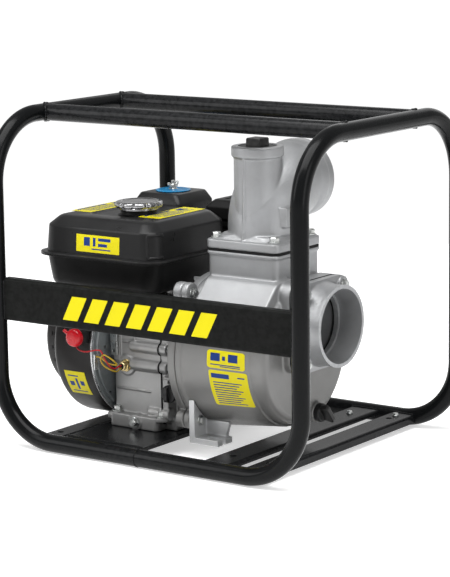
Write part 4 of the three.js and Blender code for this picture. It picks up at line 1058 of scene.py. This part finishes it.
gland_low, gland_high = box_mm("sensor_gland")
GLAND = Vector(((gland_low.x + gland_high.x) / 2, gland_high.y, (gland_low.z + gland_high.z) / 2))
gland_parts = [
    lathe("-y", [(9.2, 0), (9.2, 1.4), (8.6, 1.9)], GLAND, 40),
    loft([circle(GLAND + Vector((0, -h, 0)), Vector((1, 0, 0)), Vector((0, 0, 1)), r, 6, 0.3) for h, r in (
        (1.8, 8.2), (1.8, 8.7), (6, 8.7), (6.6, 7.9),
    )]),
    lathe("-y", [(5.8, 6.2), (6.2, 6.6), (6.2, 11), (5.6, 11.7), (4.6, 12), (0, 12)], GLAND, 40),
]
piece("sensor_gland_fine", gland_parts, BRASS, "sensor_gland", sharp=32)
piece(
    "gland_seal", [lathe("-y", [(4.6, 11.9), (4.4, 12.15), (0, 12.2)], GLAND, 32)], RUBBER,
    sharp=60,
)


def wrapped(name, look, x, angles, rows, radius, lift=0.25, corner=0.0):
    """A label bent round the shaft line: x span in mm and angle span in degrees from straight front,
    positive upwards, or the same for each of several bars laid on it."""
    parts = []
    for (xa, xb), (ta, tb) in rows or [(x, angles)]:
        steps = max(2, int(abs(tb - ta) / 0.75)) if corner else max(2, int(abs(tb - ta) / 1.5))
        rings = []
        for k in range(steps + 1):
            t = math.radians(ta + (tb - ta) * k / steps)
            end_gap = min(k, steps - k) / steps * math.radians(abs(tb - ta)) * 110
            rest = max(corner - end_gap, 0)
            inset = corner - math.sqrt(max(corner**2 - rest**2, 0))
            ring = []
            for px, deep in ((xa + inset, 0), (xb - inset, 0), (xb - inset, 0.35), (xa + inset, 0.35)):
                r = radius(px, t) + lift - deep
                ring.append(place(px, -r * math.cos(t), r * math.sin(t)))
            rings.append(ring)
        parts.append(loft(rings))
    return piece(name, parts, look, sharp=60)


def shroud_radius(x, t):
    """Distance from the shaft line to the shroud's skin at t above straight front."""
    return SHROUD_Z * math.sin(t) + math.sqrt(SHROUD_R**2 - (SHROUD_Z * math.cos(t)) ** 2)


wrapped("shroud_label", YELLOW_FILM, (-202, -164), (-40, -19), None, shroud_radius)
wrapped("shroud_ink", BLUE_INK, None, None, [
    ((-197, -189), (-32, -28)), ((-185, -181), (-35, -25)), ((-177, -170), (-31, -27)),
    ((-197, -170), (-37.5, -36.6)), ((-197, -178), (-23.4, -22.4)),
], shroud_radius, 0.45)

# ---- Crankcase --------------------------------------------------------------------------

CX0, CX1 = -136, box_mm("crankcase_cover")[0].x - 0.3  # the foot is wider than the case
FOOT_Z = box_mm("crankcase")[0].z
CYL_X = (CX0 + CX1) / 2


def eng(x, y, z):
    """A block given from the shaft line."""
    return at_shaft(block(x, y, z))


def eng_rod(axis, radius, start, end, centre=(0, 0, 0), sides=40, top=None):
    return at_shaft(rod(axis, radius, start, end, centre, sides, top))


def soft_outline(points, r, steps=5):
    """Rounds every corner of a closed outline."""
    out = []
    n = len(points)
    for i in range(n):
        before, p, after = (Vector((*points[(i + k) % n], 0)) for k in (-1, 0, 1))
        a, b = before - p, after - p
        cut_back = min(r, a.length * 0.45, b.length * 0.45)
        start, end = p + a.normalized() * cut_back, p + b.normalized() * cut_back
        for s in range(steps + 1):
            t = s / steps
            q = start * (1 - t) ** 2 + p * (2 * t * (1 - t)) + end * t**2
            out.append((q.x, q.y))
    return out


FOOT = FOOT_Z - SHAFT.z
LUG_HEIGHTS = (40, 4, -23)  # lugs along the front joint of the cover
BASE_BOLTS = [(x, y) for x in (-130, -50) for y in (-71, 66)]
case_side = [(-70, FOOT + 10), (72, FOOT + 10), (78, -40), (60, 66), (10, 78), (-44, 74), (-70, 44)]
case_side = soft_outline(case_side, 9)


def tilted(part):
    return at_shaft(spun(part, "x", math.radians(25), (0, 0, 0)))


case_parts = [
    at_shaft(prism("x", case_side, CX0, CX1)),
    at_shaft(prism("z", rounded_rect(((CX1 - 138) / 2, -5), ((CX1 + 138) / 2, 78), 7, 5), FOOT, FOOT + 20)),
    tilted(block((CYL_X - 38, CYL_X + 38), (40, 118), (-40, 40))),
    *[eng_rod("z", 9, 60, 87.7, (x, -20, 0)) for x in (-118, -66)],
    # ribs and raised pads on the front wall
    eng((CX0 + 16, CX1 - 2), (-74, -60), (28.5, 31.5)),
    eng((CX0 + 16, CX1 - 2), (-73.4, -60), (8, 10.2)),
    eng((CX0 + 30, CX1 - 8), (-73.2, -60), (-32, -29.6)),
    eng((CX0 + 6, CX1 - 20), (-72.2, -60), (-62, -60.4)),
    eng((CX0, CX0 + 12), (-73.5, -60), (-20, 50)),
    eng_rod("y", 15, -73.3, -60, (-112, 0, -26)),
    eng((CX0 + 38, CX0 + 41), (-73, -60), (12, 44)),
    *[eng_rod("x", 8.6, -104, CX1, (0, -69, z)) for z in LUG_HEIGHTS],
    eng_rod("x", 9.4, -74, CX1, (0, -66, -93)),
    # bosses for the base bolts and the drain
    *[eng_rod("z", 11.5, FOOT + 14, FOOT + 20.6, (x, y, 0)) for x, y in BASE_BOLTS],
    eng_rod("y", 11.5, -84.6, -70, (-90, 0, FOOT + 10)),
    *[eng_rod("x", 5.5, CX0 - 9, CX0 + 3, (0, y, FOOT + 14)) for y in (-74, 62)],
]
case_cut = [at_shaft(rod("x", 60, CX0 + 8, CX1 + 1)), tilted(rod("y", 36, 30, 125, (CYL_X, 0, 0), 48))]
piece(
    "crankcase_casting", case_parts, ENGINE_CAST, "crankcase", voxel=1.1, relax=4,
    cut=case_cut, sharp=70,
)
fin_parts = []
for i in range(7):
    y = 68 + i * 6.6
    ring = rounded_rect((CYL_X, 0), (43, 45), 8, 5)
    fin_parts.append(tilted(prism("y", ring, y - 0.9, y + 0.9)))
piece("barrel_fins", fin_parts, ENGINE_CAST, bevel=0.3, sharp=50)

gasket_side = [(y * 1.016, z * 1.016) for y, z in case_side]
gasket_parts = [at_shaft(prism("x", gasket_side, CX1 - 0.9, CX1 + 0.7))]
gasket_parts += [eng_rod("x", 9.8, CX1 - 0.9, CX1 + 0.7, (0, -69, z)) for z in LUG_HEIGHTS]
piece("case_gasket", gasket_parts, RUBBER, sharp=50)

cover_x0, cover_x1 = CX1 + 0.3, box_mm("crankcase_cover")[1].x
cover_parts = [
    eng_rod("x", 72, cover_x0, cover_x1 - 8, sides=96, top=70),
    eng_rod("x", 66, cover_x0, cover_x1 - 0.4, sides=96),
    at_shaft(prism("x", case_side, cover_x0, cover_x0 + 11)),
    eng((cover_x0, cover_x1 - 4), (-50, -28), (FOOT + 12, -20)),
    eng((cover_x0, -30), (-62, 50), (FOOT, FOOT + 20)),
    *[eng_rod("x", 8.6, cover_x0, cover_x0 + 12, (0, -69, z)) for z in LUG_HEIGHTS],
    eng_rod("x", 9.4, cover_x0, cover_x0 + 14, (0, -66, -93)),
    eng_rod("y", 13.4, -71, -50, (-31, 0, -59)),
]
piece(
    "crankcase_lid", cover_parts, ENGINE_CAST, "crankcase_cover", voxel=1.1, relax=4,
    cut=[eng_rod("x", 13.5, -60, -10)], sharp=70,
)
lug_bolts = []
for z in LUG_HEIGHTS:
    lug_bolts += hex_bolt(place(cover_x0 + 12.4, -69, z), "x", 8, 4.6)
piece("lid_bolts", lug_bolts, ZINC, sharp=30)

base_bolts = []
for x, y in BASE_BOLTS:
    base_bolts += hex_bolt(place(x, y, FOOT + 20.7), "z", 11, 7, 9, 0.4)
piece("engine_base_bolts", base_bolts, ZINC, sharp=30)
drain_low, drain_high = box_mm("oil_drain_bolt")
drain_seat = ((drain_low.x + drain_high.x) / 2, -83.3 + SHAFT.y, (drain_low.z + drain_high.z) / 2)
drain_head = hex_bolt((drain_seat[0], drain_seat[1] - 1.5, drain_seat[2]), "-y", 11, 5.4, 8.2, 0.2)
piece("oil_drain_screw", drain_head, ZINC, "oil_drain_bolt", sharp=30)

oil_at = place(-31.8, -70.3, -59)
oil_parts = [
    lathe("-y", [(12.6, 1.8), (13, 2.4), (13, 8.6), (12, 10), (0, 10)], oil_at, 60,
          lambda t, r: r - (0.9 * max(0, math.cos(14 * t)) if r > 12.5 else 0)),
    lathe("-y", [(9.8, -10), (9.8, 2)], oil_at, 32),
    moved(prism("x", soft_outline([(-12, 8.5), (-10.5, 16.6), (10.5, 16.6), (12, 8.5)], 3), -2.6, 2.6),
          Matrix.Translation(oil_at) @ Matrix.Rotation(math.radians(90), 4, "X")),
]
piece("oil_filler_plug", oil_parts, BLACK_PLASTIC, "oil_plug", "oil_plug", sharp=34)

# ---- Pump -------------------------------------------------------------------------------

EAR_Y, EAR_Z = 82, (96, -89)
EARS = [(y, z) for y in (-EAR_Y, EAR_Y) for z in EAR_Z]


def ears(x0, x1, radius=14.2):
    out = []
    for y, z in EARS:
        out.append(eng_rod("x", radius, x0, x1, (0, y, z)))
        web = block((x0 + 1, x1), (-10, 10), (98, math.hypot(y, z)))
        out.append(at_shaft(spun(web, "x", math.atan2(-y, z), (0, 0, 0))))
    return out


bell = at_shaft(lathe("x", [
    (20, -21.7), (72, -21.7), (80, -21), (92, -17), (101, -11), (107, -7.6), (113, -6.6), (114, -5.4),
    (114, 6.3), (20, 6.3),
], sides=128, closed=True))
bell_ribs = [
    at_shaft(spun(block((-19, -8), (-2.5, 2.5), (72, 112)), "x", math.radians(a), (0, 0, 0)))
    for a in range(15, 375, 45)
]
piece(
    "adapter_casting", [bell, *bell_ribs, *ears(-7.6, 6.3)], DRUM_CAST, "adapter", voxel=1.3,
    relax=4, sharp=70,
)

BX0, BX1 = 6.6, 158
R0, R1 = 112, 108.5
R_LIP = R1 + 0.9  # at the step before the end face
RISE = 12 / (BX1 - BX0)


def slanted(part):
    """Leans a part built round the shaft so that it climbs towards the end face."""
    points, faces = part
    return [Vector((p[0], p[1], p[2] + RISE * (p[0] - BX0))) for p in points], faces


def drum_radius(x, t):
    """Distance from the shaft to the leaning drum, at x, t above straight front."""
    lean = RISE * (x - BX0)
    r = R0 + (R_LIP - R0) * (x - BX0) / (BX1 - 24 - BX0)
    return lean * math.sin(t) + math.sqrt(max(r * r - (lean * math.cos(t)) ** 2, 0))


drum_profile = [
    (0, BX0), (R0, BX0), (R_LIP, BX1 - 24), (R1 - 0.9, BX1 - 23.4), (R1 - 1.6, BX1 - 14),
    (R1 - 3.2, BX1 - 7), (R1 - 6.5, BX1 - 2.4), (R1 - 12, BX1), (0, BX1),
]
NECK_AT = (84, 0)
neck_half = (60, 55)
shoulder = soft_outline([(-30, 122), (-65, 117), (-107, 75), (-107, 38), (-30, 38)], 5)
SUCTION_Z = 54
NECK_TOP = 154.5
FLANGE_LOW, FLANGE_HIGH = 158.1, 171
suction_plate = rounded_rect((0, SUCTION_Z), (63, 64), 18, 8)
casing_parts = [
    at_shaft(slanted(lathe("x", drum_profile, sides=160))),
    eng_rod("x", 114, BX0, 16, sides=128),
    *ears(BX0, 17),
    at_shaft(prism("x", shoulder, 30, 152)),
    at_shaft(prism("z", rounded_rect(NECK_AT, neck_half, 9, 6), 60, NECK_TOP)),
    at_shaft(prism("z", rounded_rect(NECK_AT, (62, 57), 9, 6), NECK_TOP - 4.5, NECK_TOP)),
    at_shaft(prism("x", suction_plate, 148, 170.5)),
    eng_rod("x", 15, 150, 164, (0, 18, -80)),
]
casing_cut = [
    at_shaft(slanted(rod("x", 104, BX0 - 3, BX1 - 8, sides=96, top=100))),
    at_shaft(prism("z", rounded_rect(NECK_AT, (48, 43), 8, 6), 30, 157)),
    at_shaft(rod("x", 53, 140, 167, (0, 0, SUCTION_Z), 96)),
    at_shaft(rod("x", 47.4, 160, 175, (0, 0, SUCTION_Z), 96)),
    at_shaft(rod("x", 8.2, 140, 170, (0, 18, -80), 40)),
]
piece(
    "pump_casing_casting", casing_parts, DRUM_CAST, "pump_casing", voxel=1.3, relax=5,
    cut=casing_cut, sharp=70,
)
tab = soft_outline([(-12, 112), (1, 112), (1, 130), (-12, 130)], 2)
piece(
    "suction_port_gasket",
    [at_shaft(prism("x", suction_plate, 170.6, 173.4)), at_shaft(prism("x", tab, 170.8, 173.2))],
    RUBBER, "suction_gasket", cut=[at_shaft(rod("x", 46.6, 165, 180, (0, 0, SUCTION_Z), 96))],
    sharp=50,
)

spout = lathe("x", [
    (30, 180), (61.5, 180), (61.5, 184), (59.8, 188), (58.6, 193), (58, 200), (58, 208), (58.6, 214),
    (58.8, 219), (30, 219),
], (0, 0, SUCTION_Z), 160, closed=True)
SUCTION_LUGS = [(y, SUCTION_Z + z) for y in (-49, 49) for z in (-50, 50)]
lugs = [eng_rod("x", 12, 173.5, 188.5, (0, y, z)) for y, z in SUCTION_LUGS]
piece(
    "suction_spout", [at_shaft(prism("x", suction_plate, 173.5, 185)), at_shaft(spout), *lugs], CAST,
    "suction_flange", voxel=1.2, relax=4, sharp=60, cut=[
        at_shaft(rod("x", 80, 216.2, 226, (0, 0, SUCTION_Z), 32)),
        at_shaft(rod("x", 46.5, 165, 190, (0, 0, SUCTION_Z), 128)),
        at_shaft(lathe("x", [(50.5, 180.5), (50.6, 196), (53.2, 215), (53.8, 222)], (0, 0, SUCTION_Z), 128)),
    ],
)
flange_bolts = []
for y, z in SUCTION_LUGS:
    flange_bolts += hex_bolt(place(188.6, y, z), "x", 11, 5.4, 7.6, 0.5)
piece("suction_bolts", flange_bolts, ZINC, sharp=30)

piece(
    "neck_port_gasket",
    [at_shaft(prism("z", rounded_rect(NECK_AT, (61.6, 56.6), 9, 6), NECK_TOP + 0.2, FLANGE_LOW - 0.2))],
    RUBBER, "neck_gasket", cut=[at_shaft(rod("z", 44, 140, 165, (84, 2, 0), 64))], sharp=50,
)

ELBOW_Z, PORT_Y, START_Y, FILLER_Y = 246, 76, 2, -12


def elbow(r0, r1, from_z, mid, steps=28, sides=72, tail=10):
    bend = PORT_Y - START_Y

    def ring(y, z, turn, r):
        out = []
        for i in range(sides):
            t = 2 * math.pi * i / sides
            b = r * math.sin(t)
            out.append(place(84 + r * math.cos(t), y + b * math.cos(turn), z - b * math.sin(turn)))
        return out

    rings = [ring(START_Y, from_z, 0, r0)]
    for s in range(steps + 1):
        share = s / steps
        turn = share * math.pi / 2
        swell = r0 + (r1 - r0) * share + mid * math.sin(share * math.pi)
        rings.append(ring(PORT_Y - bend * math.cos(turn), ELBOW_Z - bend * (1 - math.sin(turn)), turn, swell))
    rings.append(ring(PORT_Y + tail, ELBOW_Z, math.pi / 2, r1))
    return loft(rings)


filler_lathe = lathe("z", [
    (42, 162), (38.5, 165), (36.6, 171), (35, 185), (34.2, 210), (34, 240), (34, 286.5), (36.8, 288.2),
    (37.4, 290), (37.4, 301.6), (36.6, 303), (20, 303),
], (84, FILLER_Y, 0), 96)
port_lathe = lathe("y", [
    (30, 66), (55, 67), (56, 70), (57, 76), (57.2, 84), (57, 86.4), (56.2, 87.4), (56.2, 100.6),
    (55, 102), (30, 102),
], (84, 0, ELBOW_Z), 128)
filler_rib = [
    (-53.2, FLANGE_HIGH - 2), (-51.6, 176), (-49.6, 186), (-48.6, 200), (-48.2, 287), (-38, 287),
    (-38, FLANGE_HIGH - 2),
]
NECK_BOLTS = ((-50, -44), (49, -44), (50, 45), (-50, 45))
discharge_parts = [
    at_shaft(prism("z", rounded_rect(NECK_AT, (62, 57), 9, 6), FLANGE_LOW, FLANGE_HIGH - 0.3)),
    at_shaft(tiers(NECK_AT, [(170, 57, 52, 12), (173.4, 53.4, 49.4, 22), (178, 51.4, 47, 30)], 8)),
    elbow(51, 55.4, 162, 2.4),
    at_shaft(port_lathe), at_shaft(filler_lathe),
    at_shaft(prism("x", filler_rib, 82.6, 85.6)),
    eng((118, 139), (-22, 4), (190, 218)),
    *[eng_rod("z", 9.6, 162, FLANGE_HIGH + 0.9, (84 + x, y, 0)) for x, y in NECK_BOLTS],
]
discharge_cut = [
    elbow(44, 44, 155, 0),
    at_shaft(rod("y", 50.5, 80, 104, (84, 0, ELBOW_Z), 96)),
    at_shaft(rod("z", 28, 200, 305, (84, FILLER_Y, 0), 72)),
]
piece(
    "discharge_elbow", discharge_parts, CAST, "discharge_casting", voxel=1.2, relax=5,
    cut=discharge_cut, sharp=70,
)

plug_base = place(84, FILLER_Y, 0)
plug_parts = [
    lathe("z", [(26, 272), (27.4, 276), (27.4, 300.6), (26.4, 302), (0, 302)], plug_base, 72),
]
piece("filler_plug_body", plug_parts, BLACK_PLASTIC, "filler_plug", "filler_plug", sharp=40)
head = tiers((84, FILLER_Y + SHAFT.y), [
    (SHAFT.z + 301.5, 12.3, 12.3, 1.6), (SHAFT.z + 312.6, 12, 12, 1.6), (SHAFT.z + 314, 10.8, 10.8, 1.2),
], 4)
dimple = lathe("z", [(8.6, 313.4), (8, 314.3), (0, 314.3)], plug_base, 32)
piece("filler_plug_head", [head, dimple], BLACK_PLASTIC, (), "filler_plug", sharp=40)

bolt_parts = []
for x, y in NECK_BOLTS:
    bolt_parts += hex_bolt(place(84 + x, y, FLANGE_HIGH + 1.2), "z", 12, 6.6, 8.4, 0.35)
piece("neck_bolts_fine", bolt_parts, ZINC, [f"neck_bolt_{i}" for i in (1, 2, 3, 4)], sharp=30)

ear_parts = []
for i, (y, z) in enumerate(EARS):
    seat = 27.3 if i == 1 else 17.4
    ear_parts += hex_bolt(place(seat, y, z), "x", 11, 5.6, 7.6, 0.3 + i)
piece("ear_bolts_fine", ear_parts, ZINC, ["ear_bolt_1", "ear_bolt_2"], sharp=30)

drain_at = place(164.3, 18, -80)
tee_outline = soft_outline([(6, -12.5), (20, -16), (22.4, -13), (22.4, 13), (20, 16), (6, 12.5)], 3)
tee_turn = Matrix.Translation(drain_at) @ Matrix.Rotation(math.radians(38), 4, "X")
drain_parts = [
    lathe("x", [(7.7, -17), (7.7, 0), (13, 0), (13.6, 1), (13.6, 6.6), (12.4, 8.2), (0, 8.2)], drain_at, 48),
    moved(prism("y", tee_outline, -3.6, 3.6), tee_turn),
]
piece(
    "drain_tee_plug", drain_parts, BLACK_PLASTIC, "drain_plug", "drain_plug", voxel=0.7,
    relax=3, sharp=60,
)

sole = FOOT - 4
bolt_plate = soft_outline([(-96, -72), (-64, -72), (-64, -66), (-88, -46), (-96, -50)], 4)
back_web = soft_outline([(20, sole), (60, sole), (68, -90), (20, -90)], 3)
foot_parts = [
    eng((17.3, 27), (-96, -64), (sole, -70)),
    at_shaft(prism("x", bolt_plate, 17.3, 27)),
    at_shaft(prism("y", back_web, -67, -60.5)),
    eng((17.3, 68), (-96, -60), (sole, sole + 9)),
]
foot_cut = [
    eng((40, 58), (-84, -77), (sole - 5, sole + 14)), eng((57, 72), (-84, -77), (sole - 5, sole + 14)),
    at_shaft(slanted(rod("x", R0 + 1.2, 0, 152, sides=96, top=R1 + 1.4))),
]
piece(
    "pump_foot_casting", foot_parts, LIT_FOOT_CAST, "pump_foot", voxel=0.9, relax=3, cut=foot_cut,
    sharp=60,
)

for node, look, slot_name, body in (
    ("volute_insert", CAST, "cast", ROOT), ("impeller", CAST, "cast", "rotor"),
    ("shaft_seal", RUBBER, "rubber", ROOT), ("flap_valve", FLAP_RUBBER, "rubber", "flap_valve"),
):
    polished(node, look, body, bevel=0.8)

# plain marks on the casing, bent to the drum
wrapped("casing_label_upper", YELLOW_FILM, (62, 126), (-0.8, 12.4), None, drum_radius, 0.35, 4)
wrapped("casing_ink_upper", BLUE_INK, None, None, [
    ((68, 84), (4.6, 10.4)), ((88, 93), (5.4, 8.4)), ((98, 114), (4.6, 10.4)), ((68, 118), (1.6, 2.3)),
    ((84, 118), (0.4, 1.0)),
], drum_radius, 0.55)
wrapped("casing_label_lower", YELLOW_FILM, (64, 129), (-33, -2.4), None, drum_radius, 0.35, 2.5)
lines = [((68, 98), (-8.4, -4.8)), ((112, 124), (-7.2, -6.2))]
lines += [((70, 118 - 5 * (i % 3)), (-12.2 - 2.1 * i, -11.4 - 2.1 * i)) for i in range(10)]
wrapped("casing_ink_lower", BLUE_INK, None, None, lines, drum_radius, 0.55)

# ---- Studio -----------------------------------------------------------------------------

floor_mesh = mesh_of("floor", [block((-1700, 1700), (-1700, 1700), (-4, -0.6))])
floor = bpy.data.objects.new("floor", floor_mesh)
bpy.context.scene.collection.objects.link(floor)
paper = Nodes("pale_floor")
mottle = paper.mix(paper.noise(3), (0.78, 0.78, 0.785), (0.82, 0.82, 0.82))
for socket, value in (
    ("Base Color", mottle), ("Roughness", 0.9), ("Emission Color", (1, 1, 1, 1)),
    ("Emission Strength", 0.5), ("Specular IOR Level", 0.1),
):
    paper.feed(paper.shader.inputs[socket], value)
floor.data.materials.append(paper.material)


def softbox(name, where, target, width, height, power):
    data = bpy.data.lights.new(name, "AREA")
    data.shape = "RECTANGLE"
    data.size, data.size_y = width, height
    data.energy = power
    lamp = bpy.data.objects.new(name, data)
    bpy.context.scene.collection.objects.link(lamp)
    lamp.location = where
    lamp.rotation_euler = (Vector(target) - Vector(where)).to_track_quat("-Z", "Y").to_euler()


softbox("overhead", (0.1, -0.7, 2.3), (0, 0, 0.2), 2.6, 1.6, 94)
softbox("front_left", (-1.9, -2.2, 1.6), (0, 0, 0.25), 1.2, 1.8, 26)
softbox("right_side", (2.6, -0.6, 1.1), (0, 0, 0.25), 0.9, 1.8, 15)
softbox("behind", (-0.6, 2.4, 1.4), (0, 0, 0.3), 2.0, 1.2, 6)
world = bpy.data.worlds.new("studio")
world.use_nodes = True
sky = world.node_tree
heading = sky.nodes.new("ShaderNodeTexCoord").outputs["Generated"]
height = sky.nodes.new("ShaderNodeSeparateXYZ")
walls = sky.nodes.new("ShaderNodeMapRange")
for socket, value in zip(("From Min", "From Max", "To Min", "To Max"), (-0.02, 0.10, 1.05, 0.42)):
    walls.inputs[socket].default_value = value
sky.links.new(heading, height.inputs[0])
sky.links.new(height.outputs["Z"], walls.inputs["Value"])
sky.links.new(walls.outputs[0], sky.nodes["Background"].inputs["Strength"])
sky.nodes["Background"].inputs["Color"].default_value = (1, 1, 1, 1)
bpy.context.scene.world = world
bpy.context.scene.view_settings.view_transform = "Standard"
